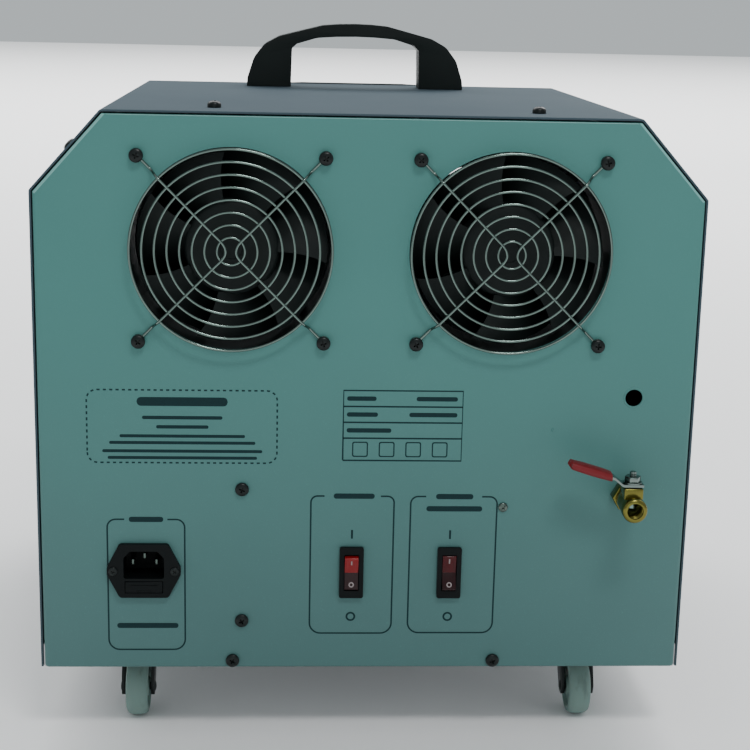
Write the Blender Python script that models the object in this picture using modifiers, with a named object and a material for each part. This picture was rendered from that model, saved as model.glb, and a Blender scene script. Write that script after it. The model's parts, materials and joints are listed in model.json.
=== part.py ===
"""Stage bubble machine with two fans and two bubble wheels, as separate pieces.

Metres, +Z up. X runs across the case (power inlet at +X), bubbles leave towards -Y, and the
connection panel faces +Y. The origin is under the middle of the whole machine, on the floor.
"""

import math

import bmesh
import bpy
from mathutils import Matrix, Vector

# ---- Driving sizes: case -------------------------------------------------------------------
CASE_WIDTH = 0.383
CASE_HEIGHT = 0.329
CASE_DEPTH = 0.400
TOP_DEPTH = 0.322          # flat part of the top, before the mouth slopes away
CORNER_RUN = 0.040         # how far each upper corner is cut, across
CORNER_DROP = 0.045        # and downwards
FRONT_HEIGHT = 0.150
SHEET = 0.0012
BEND = 0.0009              # outside radius of a folded edge
FLANGE = 0.015
TRAY_LIP = 0.015
TOUCH = 0.0003             # between pieces that touch
SEAM = 0.0006              # between the cover and what it wraps

# ---- Castors -------------------------------------------------------------------------------
CASTOR_PLATE = 0.042
CASTOR_STACK = 0.011       # plate, ball race and crown, between the wheel and the case
WHEEL_RADIUS = 0.0175
WHEEL_WIDTH = 0.014
AXLE_RADIUS = 0.0025
CASTOR_TRAIL = 0.012
CASTOR_FROM_SIDE = 0.054
CASTOR_FROM_END = 0.050
CHEEK = 0.002
KING_PIN = 0.003           # radius
PLATE_SHEET = 0.002
RUNNING = 0.0004           # clearance of turning pieces

# ---- Fans, guards and bubble wheels --------------------------------------------------------
FAN_SPACING = 0.158
FAN_RISE = 0.252           # fan centre above the bottom of the case
FAN_SIZE = 0.119
FAN_DEPTH = 0.038
FAN_RIM = 0.002            # housing left outside the duct at its thinnest
FAN_EDGE = 0.007           # fixing screws in from the housing's edges
SPIDER = 0.006             # width of the arms that hold the fan's motor
HUB_RADIUS = 0.027
BLADES = 7
BLADE_CHORD = 0.026
BLADE_PITCH = math.radians(38)
TIP_GAP = 0.003
ROTOR_LENGTH = 0.025
GUARD_RINGS = 8
GUARD_FIRST = 0.0078       # radius of the innermost ring
GUARD_MARGIN = 0.0007      # outermost ring inside the fan opening
GUARD_WIRE = 0.0008        # wire radius
GUARD_RISE = 0.0065        # ring centres in front of the panel
SCREW_HEAD = 0.004
SCREW_SHANK = 0.0018
SCREW_LENGTH = 0.010
SCREW_DOME = 0.0026        # height of a head
SCREW_CROSS = (0.0019, 0.00035)      # half length and half width of the recess
WHEEL_CIRCLE = 0.058       # wand centres about the shaft
WAND_RADIUS = 0.0125
WANDS = 8
WAND_WIRE = 0.0015
WAND_BACK = 0.275          # bubble wheels in front of the rear face
WAND_HUB = 0.011
WAND_HUB_LENGTH = 0.018
SPOKE = (0.0011, 0.0022)   # half thickness and half width
SHAFT_RADIUS = 0.003
SHAFT_LENGTH = 0.088
MOTOR_RADIUS = 0.025
MOTOR_LENGTH = 0.024
BULKHEAD_BACK = 0.215
NOZZLE_RADIUS = 0.028

# ---- Tank, drain and valve -----------------------------------------------------------------
TANK_HALF_WIDTH = 0.172
TANK_LENGTH = 0.156
TANK_WALL = 0.002
TANK_FLOOR = 0.104         # underside above the bottom of the case
TANK_HEIGHT = 0.044
TANK_LEG = 0.007           # leg radius
TANK_LEG_INSET = 0.016
SPIGOT_LENGTH = 0.014
HOSE_WALL = 0.0015
VALVE_X = -0.152
VALVE_RISE = 0.110
VALVE_REACH = 0.034        # outlet face behind the rear panel
VALVE_RADIUS = 0.0078
VALVE_BORE = 0.0032
VALVE_TAIL = 0.0062        # radius of the threaded tail
VALVE_TAIL_LENGTH = 0.016
VALVE_BARB_LENGTH = 0.016
VALVE_COLLAR = 0.0085      # length of the hexagon against the panel
VALVE_THREAD = 0.0046      # radius of the threaded mouth
VALVE_THREAD_DEPTH = 0.0055
NECK = 0.0055              # half width of the block under the lever
NECK_RISE = 0.0115
STEM_BACK = 0.012          # stem axis in front of the outlet face
BALL_RADIUS = 0.0056
STEM_RADIUS = 0.0022
STEM_CLEAR = 0.0004
STEM_THREAD = 0.0065       # length above the lever
LEVER_LENGTH = 0.038
LEVER_SHEET = 0.0016
LEVER_HALF = 0.0046
LEVER_TAIL = 0.0058        # behind the stem
LEVER_KNEE = (0.0060, 0.0)
LEVER_ELBOW = (0.0110, 0.0042)
LEVER_SLOPE = math.tan(math.radians(15))
SLEEVE_WALL = 0.0016
LOCK_NUT = 0.004

# ---- Controls ------------------------------------------------------------------------------
SWITCH_X = (0.008, -0.050)
SWITCH_RISE = 0.061
SWITCH_WIDTH = 0.0142
SWITCH_HEIGHT = 0.0315
SWITCH_RIM = 0.0022        # bezel thickness
SWITCH_LEDGE = (0.0011, 0.0016)      # bezel past its body, across and up
SWITCH_DEPTH = 0.020
WINDOW = (0.0046, 0.0112)  # half width and half height
WINDOW_DEPTH = 0.0085
ROCKER_TILT = math.radians(7)
INLET_X = 0.1298
INLET_RISE = 0.062
INLET_WIDTH = 0.043
INLET_HEIGHT = 0.033
INLET_RIM = 0.0028         # flange thickness
INLET_FLAT = 0.0142        # half the flange's straight top edge
INLET_EAR = 0.0022         # half height of its blunt ends
INLET_EAR_SCREW = 0.0180
INLET_SHELL = (0.0140, 0.0020)       # half width of the shell, and flange past it
INLET_DEPTH = 0.026
SOCKET = (0.0118, -0.0046, 0.0122)   # half width, low and high about the middle
SOCKET_DEPTH = 0.015
FUSE_BAY = (0.0112, -0.0136, -0.0062)
FUSE_BAY_DEPTH = 0.0225
PINS = (("line", 0.007, 0.0034), ("neutral", -0.007, 0.0034), ("earth", 0.0, 0.0072))
PIN = (0.0010, 0.0020)     # half width and half height
PIN_SHY = 0.004            # pin ends behind the flange's seat
HOLE_X = -0.1548
HOLE_RISE = 0.1684
HOLE_RADIUS = 0.0048
BOX_X = 0.0726
BOX_SCREWS = (0.0304, 0.1118)
BOX_HALF_WIDTH = 0.026
BOX_DEPTH = 0.036
BOX_MARGIN = 0.008         # beyond its screws
TRAY_SCREW_X = 0.078
TRAY_SCREW_RISE = 0.0050

# ---- Handle --------------------------------------------------------------------------------
HANDLE_BACK = 0.283
HANDLE_LENGTH = 0.155
HANDLE_GRIP = 0.092
HANDLE_HEIGHT = 0.0445
HANDLE_WIDTH = 0.026
HANDLE_BAR = 0.0088        # thickness at the crown

# ---- Places that follow from them ----------------------------------------------------------
REAR = (CASE_DEPTH - VALVE_REACH) / 2
FRONT = REAR - CASE_DEPTH
BASE = 2 * WHEEL_RADIUS + CASTOR_STACK
TOP = BASE + CASE_HEIGHT
INSIDE = SHEET + SEAM      # from the outside of the cover to a piece that it wraps
FAN_BORE = FAN_SIZE / 2 - FAN_RIM
FAN_PITCH = FAN_SIZE - 2 * FAN_EDGE
GUARD_STEP = (FAN_BORE - GUARD_MARGIN - GUARD_FIRST) / (GUARD_RINGS - 1)
FAN_Z = BASE + FAN_RISE
FAN_FACE = REAR - SHEET - TOUCH
BULKHEAD = REAR - BULKHEAD_BACK
SHAFT_Z = FAN_Z - WHEEL_CIRCLE
WAND_Y = REAR - WAND_BACK
STEM_Y = REAR + VALVE_REACH - STEM_BACK
VALVE_Z = BASE + VALVE_RISE
SPIGOT_RADIUS = VALVE_BORE + TANK_WALL / 2
HOSE_RADIUS = SPIGOT_RADIUS + TOUCH + HOSE_WALL
TANK_FRONT = FRONT + SHEET + FLANGE
TANK_REAR = TANK_FRONT + TANK_LENGTH
BARB_END = REAR - VALVE_TAIL_LENGTH - VALVE_BARB_LENGTH
LEVER_SEAT = NECK_RISE + 2 * TOUCH   # lever above the valve's axis
SIDES = (("right", 1), ("left", -1))     # right is +X


# ---- Small tools ---------------------------------------------------------------------------
def clear_scene():
    """Remove whatever the file starts with."""
    for old in list(bpy.data.objects):
        bpy.data.objects.remove(old, do_unlink=True)


def make_collection(name):
    """A collection linked to the scene."""
    made = bpy.data.collections.new(name)
    bpy.context.scene.collection.children.link(made)
    return made


def finish(name, colour, roughness, metallic=0.0):
    """A Principled material."""
    made = bpy.data.materials.new(name)
    made.use_nodes = True
    shader = made.node_tree.nodes["Principled BSDF"]
    shader.inputs["Base Color"].default_value = (*colour, 1.0)
    shader.inputs["Roughness"].default_value = roughness
    shader.inputs["Metallic"].default_value = metallic
    made.diffuse_color = (*colour, 1.0)
    return made


clear_scene()
PARTS = make_collection("bubble_machine")
TOOLS = make_collection("cutters")

TEAL = finish("teal_paint", (0.085, 0.19, 0.18), 0.45)
GREY = finish("grey_paint", (0.15, 0.19, 0.22), 0.45)
ZINC = finish("zinc_sheet", (0.55, 0.56, 0.57), 0.35, 1.0)
CHROME = finish("chrome", (0.75, 0.76, 0.77), 0.12, 1.0)
BLACK = finish("black_plastic", (0.01, 0.013, 0.013), 0.45)
BLACK_STEEL = finish("black_screw", (0.02, 0.02, 0.022), 0.3, 0.6)
RED = finish("red_lens", (0.35, 0.01, 0.01), 0.25)
SLEEVE = finish("red_vinyl", (0.4, 0.02, 0.02), 0.4)
BRASS = finish("brass", (0.55, 0.42, 0.13), 0.25, 1.0)
STEEL = finish("plated_steel", (0.6, 0.6, 0.6), 0.25, 1.0)
NYLON = finish("pale_nylon", (0.45, 0.52, 0.49), 0.45)
MILKY = finish("milky_plastic", (0.75, 0.76, 0.74), 0.4)
GREEN = finish("wand_plastic", (0.05, 0.35, 0.12), 0.4)
HOSE = finish("clear_hose", (0.6, 0.65, 0.62), 0.3)


def place(obj, material, group=PARTS):
    """Link an object into a group, with its material; a tool is hidden from the render."""
    group.objects.link(obj)
    if material:
        obj.data.materials.append(material)
    if group == TOOLS:
        obj.hide_render = True
        obj.display_type = "WIRE"
    return obj


def from_bmesh(name, shape, material, group=PARTS, smooth=False):
    """A mesh object from a bmesh, shaded smooth where it is round."""
    mesh = bpy.data.meshes.new(name)
    bmesh.ops.recalc_face_normals(shape, faces=shape.faces)
    shape.to_mesh(mesh)
    shape.free()
    if smooth:
        mesh.shade_smooth()
        mesh.set_sharp_from_angle(angle=math.radians(35))
    return place(bpy.data.objects.new(name, mesh), material, group)


def box(name, low, high, material=None, group=PARTS):
    """A box between two corners."""
    low, high = Vector(low), Vector(high)
    shape = bmesh.new()
    bmesh.ops.create_cube(shape, size=1.0)
    bmesh.ops.scale(shape, vec=high - low, verts=shape.verts)
    bmesh.ops.translate(shape, vec=(low + high) / 2, verts=shape.verts)
    return from_bmesh(name, shape, material, group)


def turned_to(axis):
    """The rotation that takes +Z to the named axis."""
    return Vector((0, 0, 1)).rotation_difference(axis).to_matrix().to_4x4()


def rods(name, starts, axis, length, radius, material=None, group=PARTS, sides=20):
    """Round rods of one size in one mesh, each from its start point along the axis."""
    axis = Vector(axis).normalized()
    shape = bmesh.new()
    for start in starts:
        middle = Vector(start) + axis * length / 2
        bmesh.ops.create_cone(shape, cap_ends=True, segments=sides, radius1=radius,
                              radius2=radius, depth=length,
                              matrix=Matrix.Translation(middle) @ turned_to(axis))
    return from_bmesh(name, shape, material, group, smooth=True)


def drills(name, starts, length, radius, sides=20, axis=(0, 1, 0)):
    """Rods for cutting holes."""
    return rods(name, starts, axis, length, radius, None, TOOLS, sides)


def solid_from_curve(curve_object, name, material, group):
    """Turn a curve into a mesh with welded caps, and remove the curve."""
    graph = bpy.context.evaluated_depsgraph_get()
    mesh = bpy.data.meshes.new_from_object(curve_object.evaluated_get(graph))
    shape = bmesh.new()
    shape.from_mesh(mesh)
    bmesh.ops.remove_doubles(shape, verts=shape.verts, dist=0.00001)
    shape.transform(curve_object.matrix_world)
    bpy.data.objects.remove(curve_object, do_unlink=True)
    bpy.data.meshes.remove(mesh)
    return from_bmesh(name, shape, material, group)


ALONG = {
    "X": Matrix(((0, 0, 1, 0), (1, 0, 0, 0), (0, 1, 0, 0), (0, 0, 0, 1))),
    "Y": Matrix(((1, 0, 0, 0), (0, 0, -1, 0), (0, 1, 0, 0), (0, 0, 0, 1))),
    "Z": Matrix.Identity(4),
}


def prism(name, outlines, low, high, axis="Y", material=None, group=PARTS):
    """A flat outline with its holes, drawn across the axis and extruded from low to high.

    Along Y the outline's points are (x, z), along X they are (y, z), along Z they are (x, y).
    """
    data = bpy.data.curves.new(name + "_outline", "CURVE")
    data.dimensions = "2D"
    data.fill_mode = "BOTH"
    data.extrude = (high - low) / 2
    for outline in outlines:
        spline = data.splines.new("POLY")
        spline.points.add(len(outline) - 1)
        for point, (u, v) in zip(spline.points, outline):
            point.co = (u, v, 0, 1)
        spline.use_cyclic_u = True
    guide = bpy.data.objects.new(name + "_outline", data)
    bpy.context.scene.collection.objects.link(guide)
    middle = {"X": ((low + high) / 2, 0, 0), "Y": (0, (low + high) / 2, 0),
              "Z": (0, 0, (low + high) / 2)}[axis]
    guide.matrix_world = Matrix.Translation(middle) @ ALONG[axis]
    bpy.context.view_layer.update()
    return solid_from_curve(guide, name, material, group)


def tube(name, points, radius, material=None, group=PARTS, closed=False, sides=1):
    """A round wire through the points, with filled ends."""
    data = bpy.data.curves.new(name + "_path", "CURVE")
    data.dimensions = "3D"
    data.bevel_depth = radius
    data.bevel_resolution = sides
    data.use_fill_caps = not closed
    spline = data.splines.new("POLY")
    spline.points.add(len(points) - 1)
    for point, (x, y, z) in zip(spline.points, points):
        point.co = (x, y, z, 1)
    spline.use_cyclic_u = closed
    guide = bpy.data.objects.new(name + "_path", data)
    bpy.context.scene.collection.objects.link(guide)
    bpy.context.view_layer.update()
    made = solid_from_curve(guide, name, material, group)
    made.data.shade_smooth()
    made.data.set_sharp_from_angle(angle=math.radians(50))
    return made


def turned(name, profile, centre, axis, material=None, group=PARTS, steps=24):
    """A turned piece: (radius, height) points down the outer side, spun about the axis."""
    mesh = bpy.data.meshes.new(name)
    points = [(radius, 0, height) for radius, height in profile]
    count = len(points)
    mesh.from_pydata(points, [(i, i + 1) for i in range(count - 1)], [])
    made = place(bpy.data.objects.new(name, mesh), material, group)
    made.matrix_world = Matrix.Translation(centre) @ turned_to(Vector(axis))
    spin = made.modifiers.new("Spin", "SCREW")
    spin.steps = steps
    spin.render_steps = steps
    spin.use_merge_vertices = True
    spin.merge_threshold = 0.00005
    spin.use_smooth_shade = False
    return made


def ring_turned(name, profile, centre, axis, material=None, group=PARTS, steps=24):
    """A turned piece with a bore: the profile closes on itself, clockwise from the outer top."""
    made = turned(name, profile, centre, axis, material, group, steps)
    shape = bmesh.new()
    shape.from_mesh(made.data)
    shape.verts.ensure_lookup_table()
    shape.edges.new((shape.verts[len(profile) - 1], shape.verts[0]))
    shape.to_mesh(made.data)
    shape.free()
    return made


def combine(target, tool, operation):
    """One exact Boolean on the target."""
    step = target.modifiers.new(tool.name, "BOOLEAN")
    step.object = tool
    step.operation = operation
    step.solver = "EXACT"
    return target


def cut(target, *tools):
    """Take the tools out of the target."""
    for tool in tools:
        combine(target, tool, "DIFFERENCE")
    return target


def join(target, *tools):
    """Add the tools to the target."""
    for tool in tools:
        combine(target, tool, "UNION")
    return target


def soften(target, width, segments=2, angle=40):
    """Round the edges that are sharper than the angle."""
    bevel = target.modifiers.new("Soft edges", "BEVEL")
    bevel.width = width
    bevel.segments = segments
    bevel.limit_method = "ANGLE"
    bevel.angle_limit = math.radians(angle)
    return target


def set_origin(obj, point):
    """Move an unplaced object's origin to a point and keep its shape where it is."""
    obj.data.transform(Matrix.Translation(-Vector(point)))
    obj.location = point
    return obj


def circle(centre, radius, count, start=0.0):
    """Points on a circle, as pairs."""
    return [(centre[0] + radius * math.cos(start + 2 * math.pi * i / count),
             centre[1] + radius * math.sin(start + 2 * math.pi * i / count))
            for i in range(count)]


def rectangle(left, right, low, high):
    """The corners of a rectangle."""
    return [(left, low), (right, low), (right, high), (left, high)]


def case_section(inset, low):
    """The six-sided section of the case, moved inwards, from a given height up."""
    half = CASE_WIDTH / 2 - inset
    top = TOP - inset
    slope = math.hypot(CORNER_RUN, CORNER_DROP)
    reach = CORNER_DROP * (CASE_WIDTH / 2 - CORNER_RUN) + CORNER_RUN * TOP - inset * slope
    across = (reach - CORNER_RUN * top) / CORNER_DROP
    down = (reach - CORNER_DROP * half) / CORNER_RUN
    return [(-half, low), (half, low), (half, down), (across, top), (-across, top), (-half, down)]


def plain_section(inset, low, high):
    """The lower, straight-sided part of the section."""
    half = CASE_WIDTH / 2 - inset
    return rectangle(-half, half, low, high)


def pan(name, outer, inner, face, inwards, depth, material, floor):
    """A sheet with its edges folded over: face is its outside, inwards the way the folds go.

    Below the floor height the folds are left off, to clear the tray's lip.
    """
    ends = sorted((face, face + inwards * depth))
    made = prism(name, [outer], *ends, "Y", material)
    soften(made, BEND, 1, 60)
    back = sorted((face + inwards * SHEET, face + inwards * (depth + SHEET)))
    cut(made, prism(name + "_hollow", [inner], *back, "Y", None, TOOLS))
    if floor:
        low_end = box(name + "_notch", (-CASE_WIDTH, back[0], BASE - TRAY_LIP),
                      (CASE_WIDTH, back[1], floor), None, TOOLS)
        cut(made, low_end)
    return made


# ---- Case ----------------------------------------------------------------------------------
def build_tray():
    """The base tray: a floor with a lip folded up all round."""
    half = CASE_WIDTH / 2 - INSIDE + SEAM / 3
    low_y = FRONT + SHEET + TOUCH
    high_y = REAR - SHEET - TOUCH
    tray = box("base_tray", (-half, low_y, BASE), (half, high_y, BASE + TRAY_LIP), ZINC)
    soften(tray, BEND, 1, 60)
    inside = box("tray_hollow", (-half + SHEET, low_y + SHEET, BASE + SHEET),
                 (half - SHEET, high_y - SHEET, BASE + 2 * TRAY_LIP), None, TOOLS)
    holes = [(side * TRAY_SCREW_X, high_y - 2 * SHEET, BASE + TRAY_SCREW_RISE)
             for _, side in SIDES]
    cut(tray, inside, drills("tray_screw_holes", holes, 4 * SHEET, SCREW_SHANK + TOUCH, 12))


def build_rear_panel():
    """The connection panel, with every opening that its fittings need."""
    outer = case_section(INSIDE, BASE)
    inner = case_section(INSIDE + SHEET, BASE - TRAY_LIP)
    panel = pan("rear_panel", outer, inner, REAR, -1, FLANGE, TEAL,
                BASE + TRAY_LIP + 2 * SHEET)
    start = REAR - 2 * SHEET
    through = 4 * SHEET
    fans = [(side * FAN_SPACING / 2, start, FAN_Z) for _, side in SIDES]
    cut(panel, drills("fan_openings", fans, through, FAN_BORE, 48))
    screws = [(x, start, z) for x, z in guard_screw_places()]
    screws += [(BOX_X, start, BASE + rise) for rise in BOX_SCREWS]
    screws += [(side * TRAY_SCREW_X, start, BASE + TRAY_SCREW_RISE) for _, side in SIDES]
    cut(panel, drills("panel_screw_holes", screws, through, SCREW_SHANK + TOUCH, 10))
    cut(panel, drills("cable_hole", [(HOLE_X, start, BASE + HOLE_RISE)], through,
                      HOLE_RADIUS, 24))
    cut(panel, drills("valve_hole", [(VALVE_X, start, VALVE_Z)], through,
                      VALVE_TAIL + TOUCH, 24))
    for index, centre in enumerate(SWITCH_X):
        low, high = switch_body(centre)
        cut(panel, box(f"switch_opening_{index}", (low[0] - TOUCH, start, low[1] - TOUCH),
                       (high[0] + TOUCH, start + through, high[1] + TOUCH), None, TOOLS))
    low, high = inlet_body()
    cut(panel, box("inlet_opening", (low[0] - TOUCH, start, low[1] - TOUCH),
                   (high[0] + TOUCH, start + through, high[1] + TOUCH), None, TOOLS))


def build_cover():
    """The wrap-round cover: one sheet over the sides, slopes and top, cut back at the mouth."""
    shell = prism("cover", [case_section(0, BASE)], FRONT, REAR, "Y", GREY)
    soften(shell, BEND, 1, 30)
    hollow = prism("cover_hollow", [case_section(SHEET, BASE - TRAY_LIP)],
                   FRONT - SHEET, REAR + SHEET, "Y", None, TOOLS)
    low = Vector((FRONT, BASE + FRONT_HEIGHT))
    high = Vector((REAR - TOP_DEPTH, TOP))
    past = (high - low) * 0.2
    wedge = prism("mouth_slope", [[tuple(low - past), tuple(high + past),
                                   (FRONT - CASE_DEPTH / 4, TOP + past.y)]],
                  -CASE_WIDTH, CASE_WIDTH, "X", None, TOOLS)
    y = REAR - HANDLE_BACK
    bolts = [(side * handle_bolt_x(), y, TOP - 2 * SHEET) for _, side in SIDES]
    cut(shell, hollow, wedge,
        drills("handle_bolt_holes", bolts, 4 * SHEET, SCREW_SHANK + TOUCH, 12, (0, 0, 1)))


def build_front_panel():
    """The low front panel, with its top edge folded back over the tank's rim."""
    high = BASE + FRONT_HEIGHT
    outer = plain_section(INSIDE, BASE, high)
    inner = plain_section(INSIDE + SHEET, BASE - TRAY_LIP, high - SHEET)
    pan("front_panel", outer, inner, FRONT, 1, FLANGE, TEAL, BASE + TRAY_LIP + 2 * SHEET)


def build_bulkhead():
    """The wall between fans and bubble wheels: it carries the motors and shapes the air."""
    floor = BASE + SHEET + TOUCH
    inset = INSIDE + SHEET + SEAM
    outer = case_section(inset, floor)
    inner = case_section(inset + SHEET, floor + SHEET)
    wall = pan("bulkhead", outer, inner, BULKHEAD, 1, FLANGE, ZINC, None)
    start = BULKHEAD - SHEET
    for side_name, side in SIDES:
        x = side * FAN_SPACING / 2
        cut(wall, drills("air_nozzle_" + side_name, [(x, start, FAN_Z)], 3 * SHEET,
                         NOZZLE_RADIUS, 32))
        cut(wall, drills("shaft_hole_" + side_name, [(x, start, SHAFT_Z)], 3 * SHEET,
                         2 * SHAFT_RADIUS, 16))
    cut(wall, drills("hose_hole", [(VALVE_X, start, VALVE_Z)], 3 * SHEET,
                     HOSE_RADIUS + 2 * TOUCH, 16))


def handle_bolt_x():
    """Half the distance between the handle's two fixing bolts."""
    return (HANDLE_LENGTH + HANDLE_GRIP) / 4


def build_handle():
    """The moulded carry handle: wide legs and a low arched bar, bored for its bolts."""
    half, grip, rise, bar = HANDLE_LENGTH / 2, HANDLE_GRIP / 2, HANDLE_HEIGHT, HANDLE_BAR
    base = TOP + TOUCH
    sag = 0.0036               # how far the bar drops towards its ends
    shoulder = [(half, 0.0), (half - 0.0005, rise - 0.0385), (half - 0.0050, rise - 0.0245),
                (half - 0.0125, rise - 0.0150), (half - 0.0230, rise - 0.0093),
                (half - 0.0385, rise - 0.0053)]
    crown = [(half * share, rise - 4 * sag * share ** 2) for share in (0.30, 0.15)]
    right = shoulder + crown
    under = [(grip * share, rise - bar - sag * share ** 2) for share in (0.0, 0.3, 0.6)]
    leg = [(grip - 0.0045, rise - bar - 0.0062), (grip - 0.0008, rise - bar - 0.0092), (grip, 0.0)]
    inner = under + leg
    outline = right + [(0.0, rise)] + [(-x, z) for x, z in reversed(right)]
    outline += [(-x, z) for x, z in reversed(inner)] + inner[1:]
    points = [(x, base + z) for x, z in outline]
    y = REAR - HANDLE_BACK
    handle = prism("handle", [points], y - HANDLE_WIDTH / 2, y + HANDLE_WIDTH / 2, "Y", BLACK)
    soften(handle, 0.0016, 2, 50)
    bolts = [(side * handle_bolt_x(), y, TOP - TOUCH) for _, side in SIDES]
    cut(handle, drills("handle_bores", bolts, SCREW_LENGTH, SCREW_SHANK + TOUCH, 12, (0, 0, 1)))


# ---- Screws --------------------------------------------------------------------------------
def guard_screw_places():
    """(x, z) of the eight guard screws, four about each fan."""
    half = FAN_PITCH / 2
    return [(side * FAN_SPACING / 2 + across * half, FAN_Z + up * half)
            for _, side in SIDES for across in (-1, 1) for up in (-1, 1)]


def build_screw(name, x, seat, z, length=SCREW_LENGTH):
    """A pan-head screw with a cross recess, its head on the seat and its shank inwards."""
    head, dome = SCREW_HEAD, SCREW_DOME
    profile = [(0, dome), (head * 0.6, dome - 0.0003), (head, dome - 0.0016), (head, 0.0),
               (SCREW_SHANK, 0.0), (SCREW_SHANK, -length), (0, -length)]
    screw = turned(name, profile, (x, seat, z), (0, 1, 0), BLACK_STEEL, PARTS, 12)
    arm, slot = SCREW_CROSS
    for index, (across, up) in enumerate(((arm, slot), (slot, arm))):
        recess = box(f"{name}_recess_{index}", (x - across, seat + dome - 0.0012, z - up),
                     (x + across, seat + 2 * dome, z + up), None, TOOLS)
        cut(screw, recess)


def build_screws():
    """Every screw of the rear panel."""
    eyelet_top = REAR + TOUCH + 2 * GUARD_WIRE + TOUCH
    for index, (x, z) in enumerate(guard_screw_places(), start=1):
        build_screw(f"guard_screw_{index}", x, eyelet_top, z, SCREW_LENGTH + 0.004)
    for index, rise in enumerate(BOX_SCREWS, start=1):
        build_screw(f"box_screw_{index}", BOX_X, REAR + TOUCH, BASE + rise)
    for side_name, side in SIDES:
        build_screw("tray_screw_" + side_name, side * TRAY_SCREW_X, REAR + TOUCH,
                    BASE + TRAY_SCREW_RISE)


# ---- Fans ----------------------------------------------------------------------------------
def build_fan_frame(side_name, x):
    """A square fan housing with a round duct, and a spider that holds the motor."""
    half, corner = FAN_SIZE / 2, 0.006
    outline = []
    for quarter, (sx, sz) in enumerate(((1, 1), (-1, 1), (-1, -1), (1, -1))):
        centre = (sx * (half - corner), sz * (half - corner))
        outline += [(centre[0] + corner * math.cos(math.pi / 2 * quarter + math.pi / 4 * step),
                     centre[1] + corner * math.sin(math.pi / 2 * quarter + math.pi / 4 * step))
                    for step in range(3)]
    duct = circle((0, 0), FAN_BORE, 48)
    frame = prism("fan_frame_" + side_name, [outline, duct], -FAN_DEPTH, 0, "Y", BLACK)
    reach = FAN_BORE + FAN_RIM / 2
    name = "fan_spider_" + side_name
    spider = [rods(name + "_cup", [(0, -FAN_DEPTH, 0)], (0, 1, 0), 0.0045, HUB_RADIUS, None,
                   TOOLS, 28)]
    for index, turn in enumerate((math.pi / 4, -math.pi / 4)):
        arm = box(f"{name}_{index}", (-reach, -FAN_DEPTH, -SPIDER / 2),
                  (reach, 0.004 - FAN_DEPTH, SPIDER / 2), None, TOOLS)
        arm.data.transform(Matrix.Rotation(turn, 4, "Y"))
        spider.append(arm)
    pitch = FAN_PITCH / 2
    screws = [(across * pitch, -0.012, up * pitch) for across in (-1, 1) for up in (-1, 1)]
    holes = drills(name + "_screw_holes", screws, 0.014, SCREW_SHANK + TOUCH, 10)
    for piece in (frame, holes, *spider):
        piece.location = (x, FAN_FACE, FAN_Z)
    join(frame, *spider)
    cut(frame, holes)


def build_impeller(side_name, x):
    """A hub with pitched blades, turning inside the fan frame."""
    middle = FAN_FACE - FAN_DEPTH / 2 + 0.002
    half = ROTOR_LENGTH / 2
    profile = [(0, half), (HUB_RADIUS - 0.003, half), (HUB_RADIUS, half - 0.003),
               (HUB_RADIUS, -half), (0, -half)]
    rotor = turned("impeller_" + side_name, profile, (x, middle, FAN_Z), (0, 1, 0), BLACK,
                   PARTS, 28)
    inner, outer, chord = HUB_RADIUS - 0.002, FAN_BORE - TIP_GAP, BLADE_CHORD
    for index in range(BLADES):
        name = f"blade_{side_name}_{index}"
        blade = box(name, (inner, -0.0008, -chord / 2), (outer, 0.0008, chord / 2), None, TOOLS)
        blade.data.transform(Matrix.Rotation(BLADE_PITCH, 4, "X"))
        blade.data.transform(Matrix.Rotation(2 * math.pi * index / BLADES + 0.2, 4, "Y"))
        blade.location = (x, middle, FAN_Z)
        join(rotor, blade)


def build_guard(side_name, x):
    """A finger guard: concentric rings welded under two bent wires that end in eyelets."""
    y = REAR + GUARD_RISE
    over = y + 1.5 * GUARD_WIRE
    low = REAR + TOUCH + GUARD_WIRE
    name = "finger_guard_" + side_name
    guard = None
    for index in range(GUARD_RINGS):
        radius = GUARD_FIRST + GUARD_STEP * index
        points = [(x + u, y, FAN_Z + v)
                  for u, v in circle((0, 0), radius, 14 if index < 3 else 24)]
        ring = tube(f"{name}_ring_{index}" if index else name, points, GUARD_WIRE,
                    CHROME, TOOLS if index else PARTS, closed=True, sides=0)
        if index == 0:
            guard = ring
        else:
            join(guard, ring)
    half = FAN_PITCH / 2
    eyelet = SCREW_SHANK + TOUCH + GUARD_WIRE
    end = half - (eyelet + GUARD_WIRE / 2) * math.sqrt(0.5)
    edge = GUARD_FIRST + GUARD_STEP * (GUARD_RINGS - 1)
    outer, inner = (edge + 0.006) * math.sqrt(0.5), (edge + 0.001) * math.sqrt(0.5)
    for tag, side in SIDES:
        arm = [(end, low, end), (outer, low, outer), (inner, over, inner),
               (0.0074, over, 0.0070), (0.0040, over, 0.0032)]
        path = [(side * u, v, w) for u, v, w in arm]
        path += [(side * 0.0029, over, 0.0)]
        path += [(side * u, v, -w) for u, v, w in reversed(arm)]
        path = [(x + u, v, FAN_Z + w) for u, v, w in path]
        join(guard, tube(f"{name}_wire_{tag}", path, GUARD_WIRE, None, TOOLS, sides=0))
        for up in (-1, 1):
            loop = [(x + side * half + u, low, FAN_Z + up * half + v)
                    for u, v in circle((0, 0), eyelet, 10)]
            join(guard, tube(f"{name}_eyelet_{tag}_{up}", loop, GUARD_WIRE, None, TOOLS,
                             closed=True, sides=0))


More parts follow.
